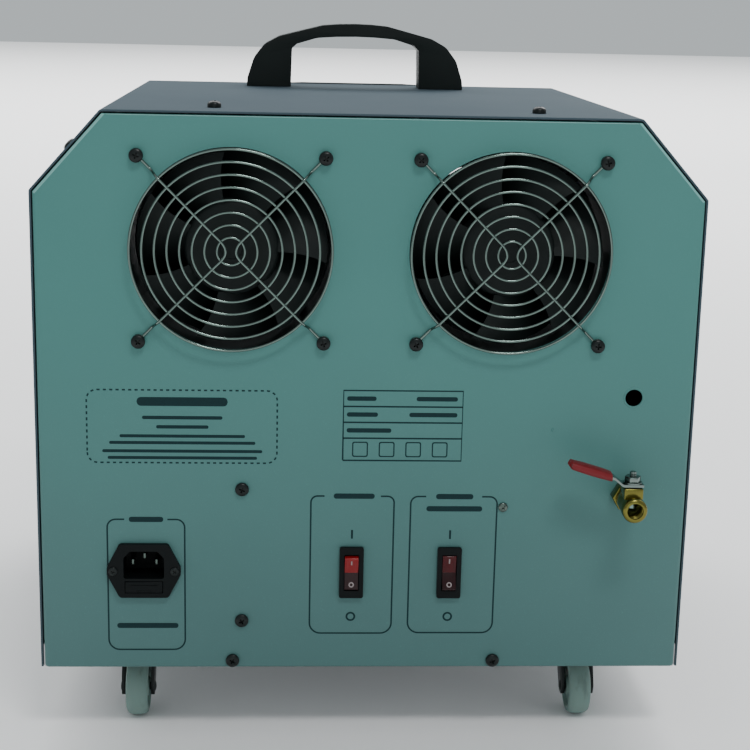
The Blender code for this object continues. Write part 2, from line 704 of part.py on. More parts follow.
# ---- Bubble wheels -------------------------------------------------------------------------
def build_bubble_wheel(side_name, x):
    """A hub with spokes that each carry a ring wand, on a shaft driven by a gear motor."""
    hub, length = WAND_HUB, WAND_HUB_LENGTH
    thick, wide = SPOKE
    bore = SHAFT_RADIUS + TOUCH
    centre = (x, WAND_Y, SHAFT_Z)
    profile = [(bore, length / 2), (hub, length / 2), (hub, -length / 2), (bore, -length / 2)]
    wheel = ring_turned("bubble_wheel_" + side_name, profile, centre, (0, 1, 0), GREEN,
                        PARTS, 20)
    name = "wand_" + side_name
    for index in range(WANDS):
        turn = Matrix.Rotation(2 * math.pi * index / WANDS, 4, "Y")
        spoke = box(f"{name}_spoke_{index}", (hub - 0.001, -thick, -wide),
                    (WHEEL_CIRCLE - WAND_RADIUS + 0.0004, thick, wide), None, TOOLS)
        spoke.data.transform(turn)
        spoke.location = centre
        join(wheel, spoke)
        points = [turn @ Vector((WHEEL_CIRCLE + u, 0, v))
                  for u, v in circle((0, 0), WAND_RADIUS, 14)]
        ring = tube(f"{name}_ring_{index}", [tuple(p) for p in points], WAND_WIRE, None, TOOLS,
                    closed=True, sides=0)
        ring.location = centre
        join(wheel, ring)
    nose = WAND_Y - length / 2 - 0.003
    shaft = rods("wheel_shaft_" + side_name, [(x, nose, SHAFT_Z)], (0, 1, 0), SHAFT_LENGTH,
                 SHAFT_RADIUS, STEEL, PARTS, 16)
    set_origin(shaft, (x, nose, SHAFT_Z))
    face = BULKHEAD + SHEET + TOUCH
    can = [(MOTOR_RADIUS - 0.002, MOTOR_LENGTH), (MOTOR_RADIUS, MOTOR_LENGTH - 0.002),
           (MOTOR_RADIUS, 0.0), (bore, 0.0),
           (bore, nose + SHAFT_LENGTH + TOUCH - face), (0, nose + SHAFT_LENGTH + TOUCH - face)]
    turned("gear_motor_" + side_name, [(0, MOTOR_LENGTH)] + can, (x, face, SHAFT_Z), (0, 1, 0),
           STEEL, PARTS, 28)


# ---- Tank and drain ------------------------------------------------------------------------
def build_tank():
    """The fluid tank: an open tray on four legs, with a spigot for the drain hose."""
    front, rear = TANK_FRONT, TANK_REAR
    low = BASE + TANK_FLOOR
    half = TANK_HALF_WIDTH
    tank = box("fluid_tank", (-half, front, low), (half, rear, low + TANK_HEIGHT), MILKY)
    soften(tank, 0.004, 2, 60)
    hollow = box("tank_hollow", (-half + TANK_WALL, front + TANK_WALL, low + TANK_WALL),
                 (half - TANK_WALL, rear - TANK_WALL, low + 2 * TANK_HEIGHT), None, TOOLS)
    inset = TANK_LEG_INSET
    floor = BASE + SHEET + TOUCH
    feet = [(sx * (half - inset), y, floor) for sx in (-1, 1)
            for y in (front + inset, rear - inset)]
    legs = rods("tank_legs", feet, (0, 0, 1), low + TANK_WALL / 2 - floor, TANK_LEG, None, TOOLS,
                12)
    spigot = rods("tank_spigot", [(VALVE_X, rear - TANK_WALL / 2, VALVE_Z)], (0, 1, 0),
                  SPIGOT_LENGTH, SPIGOT_RADIUS, None, TOOLS, 16)
    drain = drills("tank_drain", [(VALVE_X, rear - 2 * TANK_WALL, VALVE_Z)], 2 * SPIGOT_LENGTH,
                   VALVE_BORE, 16)
    join(tank, legs, spigot)
    cut(tank, hollow, drain)


def build_hose():
    """The drain hose from the tank's spigot to the valve's barb."""
    start = TANK_REAR + TOUCH
    length = BARB_END + SPIGOT_LENGTH - start
    bore = SPIGOT_RADIUS + TOUCH
    profile = [(bore, length), (HOSE_RADIUS, length), (HOSE_RADIUS, 0), (bore, 0)]
    ring_turned("drain_hose", profile, (VALVE_X, start, VALVE_Z), (0, 1, 0), HOSE, PARTS, 16)


def ball_profile(radius):
    """Half a ball's outline, top to bottom, to turn about a vertical axis."""
    arc = [(across, up) for up, across in circle((0, 0), radius, 16)[1:8]]
    return [(0, radius)] + arc + [(0, -radius)]


def build_valve_body():
    """The brass valve: threaded tail, hexagon, round chamber, and a neck for the stem."""
    centre = (VALVE_X, REAR, VALVE_Z)
    radius, tail, reach = VALVE_RADIUS, VALVE_TAIL, VALVE_REACH
    waist = radius - 0.0010
    profile = [(0, reach), (radius - 0.0012, reach), (radius, reach - 0.0012),
               (radius, reach - 0.006), (waist, reach - 0.007), (waist, VALVE_COLLAR + 0.0005),
               (radius, VALVE_COLLAR - 0.0005), (radius, TOUCH), (tail, TOUCH),
               (tail, -VALVE_TAIL_LENGTH), (SPIGOT_RADIUS, -VALVE_TAIL_LENGTH),
               (SPIGOT_RADIUS, BARB_END - REAR), (0, BARB_END - REAR)]
    body = turned("valve_body", profile, centre, (0, 1, 0), BRASS, PARTS, 24)
    collar = rods("valve_hexagon", [(VALVE_X, REAR + TOUCH, VALVE_Z)], (0, 1, 0), VALVE_COLLAR,
                  radius * 1.12, None, TOOLS, 6)
    neck = box("valve_neck", (VALVE_X - NECK, STEM_Y - NECK, VALVE_Z),
               (VALVE_X + NECK, STEM_Y + NECK, VALVE_Z + NECK_RISE), None, TOOLS)
    join(body, collar, neck)
    length = VALVE_REACH - (BARB_END - REAR)
    bore = drills("valve_flow", [(VALVE_X, BARB_END - TOUCH, VALVE_Z)], length + 2 * TOUCH,
                  VALVE_BORE, 20)
    mouth = drills("valve_mouth", [(VALVE_X, REAR + reach - VALVE_THREAD_DEPTH, VALVE_Z)],
                   2 * VALVE_THREAD_DEPTH, VALVE_THREAD, 20)
    chamber = turned("valve_chamber", ball_profile(BALL_RADIUS + TOUCH),
                     (VALVE_X, STEM_Y, VALVE_Z), (0, 0, 1), None, TOOLS, 16)
    well = drills("valve_stem_well", [(VALVE_X, STEM_Y, VALVE_Z)], 2 * NECK_RISE,
                  STEM_RADIUS + STEM_CLEAR, 16, (0, 0, 1))
    cut(body, bore, mouth, chamber, well)


def build_valve_works():
    """What turns in the valve: the ball and the stem with its nut."""
    axis = (VALVE_X, STEM_Y, VALVE_Z)
    ball = turned("valve_ball", ball_profile(BALL_RADIUS), axis, (0, 0, 1), CHROME, PARTS, 16)
    cut(ball, drills("ball_bore", [(VALVE_X - 2 * BALL_RADIUS, STEM_Y, VALVE_Z)],
                     4 * BALL_RADIUS, VALVE_BORE, 16, (1, 0, 0)))
    start, radius = BALL_RADIUS + TOUCH, STEM_RADIUS
    nut_seat = LEVER_SEAT + LEVER_SHEET + TOUCH
    tip = nut_seat + STEM_THREAD
    thread = radius - 0.0002
    profile = [(0, tip), (thread, tip - 0.0005), (thread, nut_seat), (radius, nut_seat - 0.0002),
               (radius, start), (0, start)]
    stem = turned("valve_stem", profile, axis, (0, 0, 1), STEEL, PARTS, 16)
    join(stem, rods("stem_nut", [(VALVE_X, STEM_Y, VALVE_Z + nut_seat)], (0, 0, 1), 0.0042,
                    0.0049, None, TOOLS, 6))


def build_lock_nut():
    """The hexagon nut that clamps the valve's tail to the panel from inside."""
    seat = REAR - SHEET - TOUCH
    nut = rods("valve_lock_nut", [(VALVE_X, seat - LOCK_NUT, VALVE_Z)], (0, 1, 0), LOCK_NUT,
               1.7 * VALVE_TAIL, BRASS, PARTS, 6)
    cut(nut, drills("lock_nut_bore", [(VALVE_X, seat - 2 * LOCK_NUT, VALVE_Z)], 3 * LOCK_NUT,
                    VALVE_TAIL + TOUCH, 24))


def lever_height(x):
    """Height of the arm's underside above the lever's seat, at a distance from the stem."""
    return LEVER_ELBOW[1] + (x - LEVER_ELBOW[0]) * LEVER_SLOPE


def at_lever(points):
    """Move points from the lever's own seat to the valve."""
    return [(VALVE_X + x, VALVE_Z + LEVER_SEAT + z) for x, z in points]


def build_lever():
    """The cranked steel lever."""
    axis = (VALVE_X, STEM_Y, VALVE_Z)
    tip = LEVER_LENGTH - SLEEVE_WALL + TOUCH / 3
    under = [(-LEVER_TAIL, 0.0), LEVER_KNEE, LEVER_ELBOW, (tip, lever_height(tip))]
    over = [(x, z + LEVER_SHEET) for x, z in reversed(under)]
    lever = prism("valve_lever", [at_lever(under + over)], STEM_Y - LEVER_HALF,
                  STEM_Y + LEVER_HALF, "Y", STEEL)
    set_origin(lever, axis)
    eye = (VALVE_X, STEM_Y, VALVE_Z + LEVER_SEAT - LEVER_SHEET)
    cut(lever, drills("lever_eye", [eye], 3 * LEVER_SHEET, STEM_RADIUS + STEM_CLEAR, 16,
                      (0, 0, 1)))


def build_sleeve():
    """The vinyl sleeve pushed over the lever's arm."""
    axis = (VALVE_X, STEM_Y, VALVE_Z)
    first, last = LEVER_ELBOW[0] + 0.0018, LEVER_LENGTH
    below = SLEEVE_WALL + TOUCH
    above = LEVER_SHEET + SLEEVE_WALL + TOUCH
    outline = [(first, lever_height(first) - below), (last, lever_height(last) - below),
               (last, lever_height(last) + above), (first, lever_height(first) + above)]
    half = LEVER_HALF + SLEEVE_WALL
    sleeve = prism("lever_sleeve", [at_lever(outline)], STEM_Y - half, STEM_Y + half, "Y", SLEEVE)
    set_origin(sleeve, axis)
    soften(sleeve, 0.0012, 2, 60)
    start, end = LEVER_ELBOW[0], LEVER_LENGTH - SLEEVE_WALL + TOUCH * 4 / 3
    over = LEVER_SHEET + TOUCH
    arm = [(start, lever_height(start) - TOUCH), (end, lever_height(end) - TOUCH),
           (end, lever_height(end) + over), (start, lever_height(start) + over)]
    cut(sleeve, prism("sleeve_slot", [at_lever(arm)], STEM_Y - LEVER_HALF - TOUCH,
                      STEM_Y + LEVER_HALF + TOUCH, "Y", None, TOOLS))


# ---- Controls ------------------------------------------------------------------------------
def switch_body(centre):
    """(low, high) corners in x and z of the part of a switch that passes through the panel."""
    half_x, half_z = SWITCH_WIDTH / 2 - SWITCH_LEDGE[0], SWITCH_HEIGHT / 2 - SWITCH_LEDGE[1]
    z = BASE + SWITCH_RISE
    return (centre - half_x, z - half_z), (centre + half_x, z + half_z)


def build_switch(name, centre, tilt):
    """A rocker switch: bezel and body in one, and a rocker that tips in its window."""
    z = BASE + SWITCH_RISE
    face = REAR + TOUCH
    rim, half_x, half_z = SWITCH_RIM, SWITCH_WIDTH / 2, SWITCH_HEIGHT / 2
    housing = box("switch_housing_" + name, (centre - half_x, face, z - half_z),
                  (centre + half_x, face + rim, z + half_z), BLACK)
    soften(housing, 0.0007, 1, 60)
    low, high = switch_body(centre)
    body = box("switch_body_" + name, (low[0], face - SWITCH_DEPTH, low[1]),
               (high[0], face + rim / 2, high[1]), None, TOOLS)
    across, up = WINDOW
    window = box("switch_window_" + name, (centre - across, face - WINDOW_DEPTH, z - up),
                 (centre + across, face + 2 * rim, z + up), None, TOOLS)
    join(housing, body)
    cut(housing, window)
    build_rocker(name, (centre, face, z), tilt)


def build_rocker(name, pivot, tilt):
    """The rocker: two raised ends and a shallow dip, tipped about its pivot."""
    centre, face, z = pivot
    half_x = WINDOW[0] - RUNNING
    end = WINDOW[1] - 0.0007
    outline = [(0.0012, 0.0), (0.0022, 0.0050), (0.0036, end - 0.0006), (0.0030, end),
               (-0.0022, end - 0.0002), (-0.0045, 0.0045)]
    outline += [(y, -up) for y, up in reversed(outline[1:])]
    points = [(face + y, z + up) for y, up in outline]
    rocker = prism("rocker_" + name, [points], centre - half_x, centre + half_x, "X", RED)
    set_origin(rocker, pivot)
    soften(rocker, 0.0004, 1, 50)
    rocker.rotation_euler = (tilt, 0, 0)


def inlet_body():
    """(low, high) corners in x and z of the part of the inlet that passes through the panel."""
    z = BASE + INLET_RISE
    half_x, half_z = INLET_SHELL[0], INLET_HEIGHT / 2 - INLET_SHELL[1]
    return (INLET_X - half_x, z - half_z), (INLET_X + half_x, z + half_z)


def in_inlet(name, size, start, end, trim=0.0, material=None, group=TOOLS):
    """A box in the inlet: size is (half width, low, high), start and end are along Y."""
    half, low, high = size
    z = BASE + INLET_RISE
    return box(name, (INLET_X - half + trim, start, z + low + trim),
               (INLET_X + half - trim, end, z + high - trim), material, group)


def build_inlet():
    """The mains inlet: a six-sided flange, the plug's socket, and a bay for the fuse drawer."""
    z = BASE + INLET_RISE
    face, rim = REAR + TOUCH, INLET_RIM
    half_w, half_h, flat, tip = INLET_WIDTH / 2, INLET_HEIGHT / 2, INLET_FLAT, INLET_EAR
    outline = [(flat, half_h), (-flat, half_h), (-half_w, tip), (-half_w, -tip),
               (-flat, -half_h), (flat, -half_h), (half_w, -tip), (half_w, tip)]
    points = [(INLET_X + x, z + v) for x, v in outline]
    inlet = prism("power_inlet", [points], face, face + rim, "Y", BLACK)
    soften(inlet, 0.0008, 1, 40)
    low, high = inlet_body()
    shell = box("inlet_shell", (low[0], face - INLET_DEPTH, low[1]),
                (high[0], face + rim / 2, high[1]), None, TOOLS)
    join(inlet, shell)
    cut(inlet, in_inlet("inlet_socket", SOCKET, face - SOCKET_DEPTH, face + 2 * rim),
        in_inlet("fuse_bay", FUSE_BAY, face - FUSE_BAY_DEPTH, face + 2 * rim))
    ears = [(INLET_X + side * INLET_EAR_SCREW, face - rim, z) for _, side in SIDES]
    cut(inlet, drills("ear_holes", ears, 3 * rim, 0.0015, 12))


def build_inlet_pins():
    """The three flat pins at the bottom of the socket."""
    z = BASE + INLET_RISE
    face = REAR + TOUCH
    across, up = PIN
    for name, x, rise in PINS:
        pin = box("pin_" + name, (INLET_X + x - across, face - SOCKET_DEPTH + TOUCH, z + rise - up),
                  (INLET_X + x + across, face - PIN_SHY, z + rise + up), STEEL)
        soften(pin, 0.0005, 1, 60)


def build_fuse_drawer():
    """The drawer that slides in below the socket, hollowed for its fuse."""
    face = REAR + TOUCH
    wall, half = 0.0012, FUSE_BAY[0]
    back = face - FUSE_BAY_DEPTH + TOUCH
    drawer = in_inlet("fuse_drawer", FUSE_BAY, back, face + INLET_RIM + 0.0004, TOUCH, BLACK,
                      PARTS)
    hollow = (half - wall, FUSE_BAY[1] + wall + 2 * TOUCH, 0.0)
    cut(drawer, in_inlet("fuse_hollow", hollow, back + wall, face - 0.0020))


def build_control_box():
    """The closed box behind the panel that holds the receiver and terminals."""
    half = BOX_HALF_WIDTH
    face = REAR - SHEET - TOUCH
    low, high = BASE + BOX_SCREWS[0] - BOX_MARGIN, BASE + BOX_SCREWS[1] + BOX_MARGIN
    case = box("control_box", (BOX_X - half, face - BOX_DEPTH, low), (BOX_X + half, face, high),
               BLACK)
    soften(case, 0.0015, 1, 60)
    bosses = [(BOX_X, face - SCREW_LENGTH, BASE + rise) for rise in BOX_SCREWS]
    cut(case, drills("box_bores", bosses, 2 * SCREW_LENGTH, SCREW_SHANK + TOUCH, 12))


# ---- Castors -------------------------------------------------------------------------------
def build_castor(name, x, y):
    """A castor: plate with king pin, fork with axle rivet, and wheel."""
    top = BASE - TOUCH
    half = CASTOR_PLATE / 2
    plate = box("castor_plate_" + name, (x - half, y - half, top - PLATE_SHEET),
                (x + half, y + half, top), ZINC)
    soften(plate, 0.0006, 1, 60)
    race, race_radius, head_radius, head = 0.0045, 3 * KING_PIN, 0.0048, 0.0012
    crown_top = top - race - RUNNING
    crown_bottom = crown_top - CHEEK
    under = crown_bottom - RUNNING - top
    profile = [(0, -PLATE_SHEET / 2), (race_radius, -PLATE_SHEET / 2), (race_radius, -race),
               (KING_PIN, -race), (KING_PIN, under), (head_radius, under),
               (head_radius, under - head), (0, under - head)]
    pin = turned("king_pin_" + name, profile, (x, y, top), (0, 0, 1), None, TOOLS, 16)
    join(plate, pin)
    build_fork(name, x, y, crown_bottom, crown_top)
    build_castor_wheel(name, x, y + CASTOR_TRAIL)


def build_fork(name, x, y, low, high):
    """The swivelling fork: a crown about the king pin, two cheeks, and the axle rivet."""
    inner = WHEEL_WIDTH / 2 + 0.0010
    outer = inner + CHEEK
    fork = rods("castor_fork_" + name, [(x, y, low)], (0, 0, 1), high - low, outer + 0.002,
                ZINC, PARTS, 16)
    set_origin(fork, (x, y, 0))
    axle_y, axle_z = y + CASTOR_TRAIL, WHEEL_RADIUS
    for tag, side in SIDES:
        ends = sorted((x + side * inner, x + side * outer))
        outline = [(y - 0.0075, high), (y + 0.0080, high), (axle_y + 0.0060, axle_z + 0.002),
                   (axle_y + 0.0040, axle_z - 0.005), (axle_y - 0.0040, axle_z - 0.005),
                   (y - 0.0070, high - 0.008)]
        join(fork, prism(f"cheek_{name}_{tag}", [outline], *ends, "X", None, TOOLS))
    join(fork, rods("axle_" + name, [(x - outer - 0.001, axle_y, axle_z)], (1, 0, 0),
                    2 * outer + 0.002, AXLE_RADIUS, None, TOOLS, 16))
    cut(fork, drills(f"crown_hole_{name}", [(x, y, low - 0.001)], high - low + 0.002,
                     KING_PIN + RUNNING, 16, (0, 0, 1)))


def build_castor_wheel(name, x, y):
    """A solid tread bored for the axle; it stands on one of its facets."""
    steps = 20
    half, bore = WHEEL_WIDTH / 2, AXLE_RADIUS + RUNNING
    edge = WHEEL_RADIUS / math.cos(math.pi / steps)
    rim = edge - 0.0018
    profile = [(bore, half), (rim, half), (edge, half - 0.0022), (edge, -half + 0.0022),
               (rim, -half), (bore, -half)]
    wheel = ring_turned("castor_wheel_" + name, profile, (x, y, WHEEL_RADIUS), (1, 0, 0), NYLON,
                        PARTS, steps)
    wheel.matrix_world = wheel.matrix_world @ Matrix.Rotation(math.pi / steps, 4, "Z")


def build_castors():
    """Four castors, all trailing towards the rear."""
    x = CASE_WIDTH / 2 - CASTOR_FROM_SIDE
    for end, y in (("rear", REAR - CASTOR_FROM_END), ("front", FRONT + CASTOR_FROM_END)):
        for side_name, side in SIDES:
            build_castor(f"{end}_{side_name}", side * x, y)


# ---- The machine ---------------------------------------------------------------------------
def build_machine():
    """Every piece, from the case inwards."""
    build_tray()
    build_rear_panel()
    build_cover()
    build_front_panel()
    build_bulkhead()
    build_handle()
    build_screws()
    for side_name, side in SIDES:
        x = side * FAN_SPACING / 2
        build_fan_frame(side_name, x)
        build_impeller(side_name, x)
        build_guard(side_name, x)
        build_bubble_wheel(side_name, x)
    build_tank()
    build_hose()
    build_valve_body()
    build_valve_works()
    build_lever()
    build_sleeve()
    build_lock_nut()
    build_switch("manual", SWITCH_X[0], -ROCKER_TILT)
    build_switch("remote", SWITCH_X[1], ROCKER_TILT)
    build_inlet()
    build_inlet_pins()
    build_fuse_drawer()
    build_control_box()
    build_castors()


build_machine()
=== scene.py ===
"""The looks of a stage bubble machine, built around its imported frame.

Every place comes from the frame's boxes; the sizes that only the looks need stand in the class
that uses them. Metres, +Z up; the connection panel faces +Y and bubbles leave towards -Y.
"""

from __future__ import annotations

import json
import logging
import math
from dataclasses import dataclass
from enum import Enum
from typing import Iterable, Sequence, Union

import bmesh
import bpy
from mathutils import Matrix, Vector

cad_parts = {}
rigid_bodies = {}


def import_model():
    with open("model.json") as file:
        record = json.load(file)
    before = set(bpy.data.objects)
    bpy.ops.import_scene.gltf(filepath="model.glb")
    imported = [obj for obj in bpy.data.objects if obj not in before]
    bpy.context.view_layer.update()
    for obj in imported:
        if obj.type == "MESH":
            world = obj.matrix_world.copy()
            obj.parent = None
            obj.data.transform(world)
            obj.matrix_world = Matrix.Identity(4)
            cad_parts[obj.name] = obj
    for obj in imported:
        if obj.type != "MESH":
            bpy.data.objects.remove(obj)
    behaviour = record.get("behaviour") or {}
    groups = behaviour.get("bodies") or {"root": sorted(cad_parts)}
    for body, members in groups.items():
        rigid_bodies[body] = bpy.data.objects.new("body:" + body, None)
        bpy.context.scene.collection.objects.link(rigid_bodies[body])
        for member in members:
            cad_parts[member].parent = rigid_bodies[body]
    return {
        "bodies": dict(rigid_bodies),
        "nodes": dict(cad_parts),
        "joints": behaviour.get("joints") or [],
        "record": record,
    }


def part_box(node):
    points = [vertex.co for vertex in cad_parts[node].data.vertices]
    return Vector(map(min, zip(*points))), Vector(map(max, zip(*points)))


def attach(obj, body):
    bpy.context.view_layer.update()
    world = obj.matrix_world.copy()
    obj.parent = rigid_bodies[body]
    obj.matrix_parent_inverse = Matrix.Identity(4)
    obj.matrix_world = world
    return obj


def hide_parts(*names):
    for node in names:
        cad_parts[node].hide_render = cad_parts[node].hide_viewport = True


LOG = logging.getLogger("bubble_machine")
Pair = tuple[float, float]
Triple = tuple[float, float, float]
CLEAR = 0.01  # How far a cutting tool reaches past what it cuts, in metres.
WELD = 1e-6  # Points closer together than this are one point, in metres.


class Side(Enum):
    """Which half of the machine a piece belongs to; right is +X."""

    RIGHT = 1
    LEFT = -1

    @property
    def tag(self) -> str:
        """The word used in the names of pieces."""
        return self.name.lower()


class Along(Enum):
    """The axis that an outline is drawn across, as the matrix that turns +Z to it."""

    X = ((0, 0, 1, 0), (1, 0, 0, 0), (0, 1, 0, 0), (0, 0, 0, 1))
    Y = ((1, 0, 0, 0), (0, 0, -1, 0), (0, 1, 0, 0), (0, 0, 0, 1))
    Z = ((1, 0, 0, 0), (0, 1, 0, 0), (0, 0, 1, 0), (0, 0, 0, 1))


# ---- Shader maths --------------------------------------------------------------------------
class Signal:
    """A number or colour that flows through a material, with Python's operators."""

    def __init__(self, graph: Graph, socket: bpy.types.NodeSocket) -> None:
        """Args: graph: the material's graph. socket: the output that carries the value."""
        self.graph = graph
        self.socket = socket

    def _with(self, operation: str, *others: Value) -> Signal:
        """One Math node on this value and the others."""
        return self.graph.maths(operation, self, *others)

    def __add__(self, other: Value) -> Signal:
        """Sum."""
        return self._with("ADD", other)

    def __radd__(self, other: Value) -> Signal:
        """Sum, reflected."""
        return self.graph.maths("ADD", other, self)

    def __sub__(self, other: Value) -> Signal:
        """Difference."""
        return self._with("SUBTRACT", other)

    def __rsub__(self, other: Value) -> Signal:
        """Difference, reflected."""
        return self.graph.maths("SUBTRACT", other, self)

    def __mul__(self, other: Value) -> Signal:
        """Product."""
        return self._with("MULTIPLY", other)

    def __rmul__(self, other: Value) -> Signal:
        """Product, reflected."""
        return self.graph.maths("MULTIPLY", other, self)

    def ramp(self, low: float, high: float) -> Signal:
        """Zero below low, one above high, smooth between."""
        made = self.graph.node("ShaderNodeMapRange", {"interpolation_type": "SMOOTHSTEP"},
                               {"Value": self, "From Min": low, "From Max": high})
        return Signal(self.graph, made.outputs["Result"])


Value = Union[Signal, float]
Colour = Union[Signal, Triple]


class Graph:
    """A material and its nodes."""

    def __init__(self, name: str) -> None:
        """Args: name: the material's name."""
        self.material = bpy.data.materials.new(name)
        self.material.use_nodes = True
        self.tree = self.material.node_tree
        self.tree.nodes.clear()

    def node(self, kind: str, settings: dict | None = None,
             sockets: dict | None = None) -> bpy.types.Node:
        """Add one node.

        Args:
            kind: the node's type.
            settings: its own settings, set first.
            sockets: values or signals for its inputs, by name or index.

        Returns:
            The node.
        """
        made = self.tree.nodes.new(kind)
        for key, value in (settings or {}).items():
            setattr(made, key, value)
        for key, value in (sockets or {}).items():
            self.feed(made.inputs[key], value)
        return made

    def feed(self, socket: bpy.types.NodeSocket, value: Value | Colour) -> None:
        """Link a signal to a socket, or set a plain value on it."""
        if isinstance(value, Signal):
            self.tree.links.new(value.socket, socket)
        elif isinstance(value, tuple) and socket.type == "RGBA":
            socket.default_value = (*value, 1.0)
        else:
            socket.default_value = value

    def maths(self, operation: str, *values: Value) -> Signal:
        """One Math node."""
        made = self.node("ShaderNodeMath", {"operation": operation}, dict(enumerate(values)))
        return Signal(self, made.outputs[0])

    def place(self) -> Signal:
        """The position on the piece, in metres."""
        return Signal(self, self.node("ShaderNodeTexCoord").outputs["Object"])

    def part_of(self, vector: Signal, axis: str) -> Signal:
        """One coordinate of a position."""
        return Signal(self, self.node("ShaderNodeSeparateXYZ", None, {0: vector}).outputs[axis])

    def stretched(self, scale: Triple) -> Signal:
        """The position, scaled differently along each axis."""
        made = self.node("ShaderNodeVectorMath", {"operation": "MULTIPLY"},
                         {0: self.place(), 1: scale})
        return Signal(self, made.outputs[0])

    def noise(self, scale: float, detail: float = 3.0, where: Signal | None = None) -> Signal:
        """Soft noise between zero and one, with features about 1/scale metres across."""
        made = self.node("ShaderNodeTexNoise", None,
                         {"Vector": where or self.place(), "Scale": scale, "Detail": detail})
        return Signal(self, made.outputs["Fac"])

    def cells(self, scale: float) -> Signal:
        """The random grey of a cell pattern, as on spangled zinc."""
        made = self.node("ShaderNodeTexVoronoi", None, {"Vector": self.place(), "Scale": scale})
        return self.part_of(Signal(self, made.outputs["Color"]), "X")

    def mix(self, amount: Value, first: Colour, second: Colour) -> Signal:
        """A colour between two colours."""
        made = self.node("ShaderNodeMix", {"data_type": "RGBA"},
                         {0: amount, 6: first, 7: second})
        return Signal(self, made.outputs[2])

    def bump(self, height: Signal, strength: float, distance: float) -> Signal:
        """The normal of a surface with that relief."""
        made = self.node("ShaderNodeBump", None,
                         {"Height": height, "Strength": strength, "Distance": distance})
        return Signal(self, made.outputs["Normal"])

    def surface(self, sockets: dict) -> bpy.types.Material:
        """Finish the material with a Principled shader.

        Args:
            sockets: its inputs, by name.

        Returns:
            The material.
        """
        shader = self.node("ShaderNodeBsdfPrincipled", None, sockets)
        output = self.node("ShaderNodeOutputMaterial")
        self.tree.links.new(shader.outputs[0], output.inputs[0])
        return self.material


def darker(colour: Triple, share: float) -> Triple:
    """A colour scaled in brightness."""
    return tuple(min(1.0, part * share) for part in colour)


@dataclass(frozen=True)
class PowderCoat:
    """Stove-baked powder paint on steel: soft orange-peel relief, faint cloudiness, and painted
    shade towards the bottom that also roughens it like dust.
    """

    name: str
    colour: Triple
    # The darker colour of the painted shade towards the bottom, and the heights where it starts and
    # fades out.
    dusty: Triple
    dust_low: float = 0.05
    dust_high: float = 0.30
    roughness: float = 0.42
    shine: float = 0.30

    def build(self) -> bpy.types.Material:
        """The paint's material."""
        g = Graph(self.name)
        cloud = g.noise(9.0, 4.0)
        grain = g.noise(1500.0, 2.0)
        height = g.part_of(g.place(), "Z")
        # Painted shade: a darker, greyer colour towards the bottom, broken up by noise; the same
        # mask adds a little roughness as dust.
        dust_and_low_shade = (1.0 - height.ramp(self.dust_low, self.dust_high)) * (0.55 + 0.5 * cloud)
        base = g.mix(dust_and_low_shade * 0.8, self.colour, self.dusty)
        base = g.mix(grain.ramp(0.62, 0.75) * 0.22, base, darker(self.colour, 1.5))
        base = g.mix(cloud.ramp(0.35, 0.75) * 0.15, base, darker(self.colour, 0.8))
        relief = g.noise(700.0, 2.0) + 0.35 * grain
        return g.surface({
            "Base Color": base,
            "Roughness": self.roughness + 0.10 * cloud + 0.10 * dust_and_low_shade,
            "Normal": g.bump(relief, 0.10, 0.0002),
            "Specular IOR Level": self.shine,
        })


@dataclass(frozen=True)
class BareMetal:
    """A bare or plated metal: handling smudges, fine brushing along one way, tarnish."""

    name: str
    colour: Triple
    roughness: float
    brushed: Triple = (400.0, 400.0, 400.0)
    tarnish: Triple | None = None
    spangle: float = 0.0

    def build(self) -> bpy.types.Material:
        """The metal's material."""
        g = Graph(self.name)
        smudge = g.noise(60.0, 4.0)
        brush = g.noise(1.0, 3.0, g.stretched(self.brushed))
        base = g.mix(smudge.ramp(0.45, 0.8) * 0.5, self.colour,
                     self.tarnish or darker(self.colour, 0.75))
        rough = self.roughness + 0.12 * smudge + 0.05 * brush
        if self.spangle:
            flake = g.cells(self.spangle)
            base = g.mix(flake * 0.35, base, darker(self.colour, 1.25))
            rough = rough + 0.15 * flake
        return g.surface({
            "Base Color": base,
            "Metallic": 1.0,
            "Roughness": rough,
            "Normal": g.bump(brush, 0.08, 0.0001),
        })


@dataclass(frozen=True)
class Moulded:
    """A moulded plastic or dipped vinyl: fine eroded grain, and polish where it is rubbed."""

    name: str
    colour: Triple
    roughness: float
    grain: float = 2200.0
    relief: float = 0.12
    scuffs: Triple | None = None
    scuff_scale: float = 160.0
    coat: float = 0.0
    shine: float = 0.5
    subsurface: float = 0.0
    transmission: float = 0.0

    def build(self) -> bpy.types.Material:
        """The plastic's material."""
        g = Graph(self.name)
        grain = g.noise(self.grain, 2.0)
        rub = g.noise(45.0, 3.0)
        base = g.mix(rub * 0.35, self.colour, darker(self.colour, 0.78))
        if self.scuffs:
            marks = g.noise(1.0, 4.0, g.stretched((self.scuff_scale, 60.0, 60.0)))
            base = g.mix(marks.ramp(0.55, 0.72) * 0.5, base, self.scuffs)
        return g.surface({
            "Base Color": base,
            "Roughness": self.roughness + 0.16 * rub - 0.06 * grain,
            "Normal": g.bump(grain, self.relief, 0.0002),
            "Coat Weight": self.coat,
            "Coat Roughness": 0.12,
            "Specular IOR Level": self.shine,
            "Subsurface Weight": self.subsurface,
            "Subsurface Scale": 0.004,
            "Transmission Weight": self.transmission,
        })


@dataclass(frozen=True)
class Ink:
    """Screen-printed ink with slightly uneven cover."""

    name: str
    colour: Triple

    def build(self) -> bpy.types.Material:
        """The ink's material."""
        g = Graph(self.name)
        cover = g.noise(900.0, 2.0)
        return g.surface({
            "Base Color": g.mix(cover.ramp(0.3, 0.9) * 0.4, self.colour, darker(self.colour, 1.6)),
            "Roughness": 0.42 + 0.2 * cover,
            "Specular IOR Level": 0.15,
        })


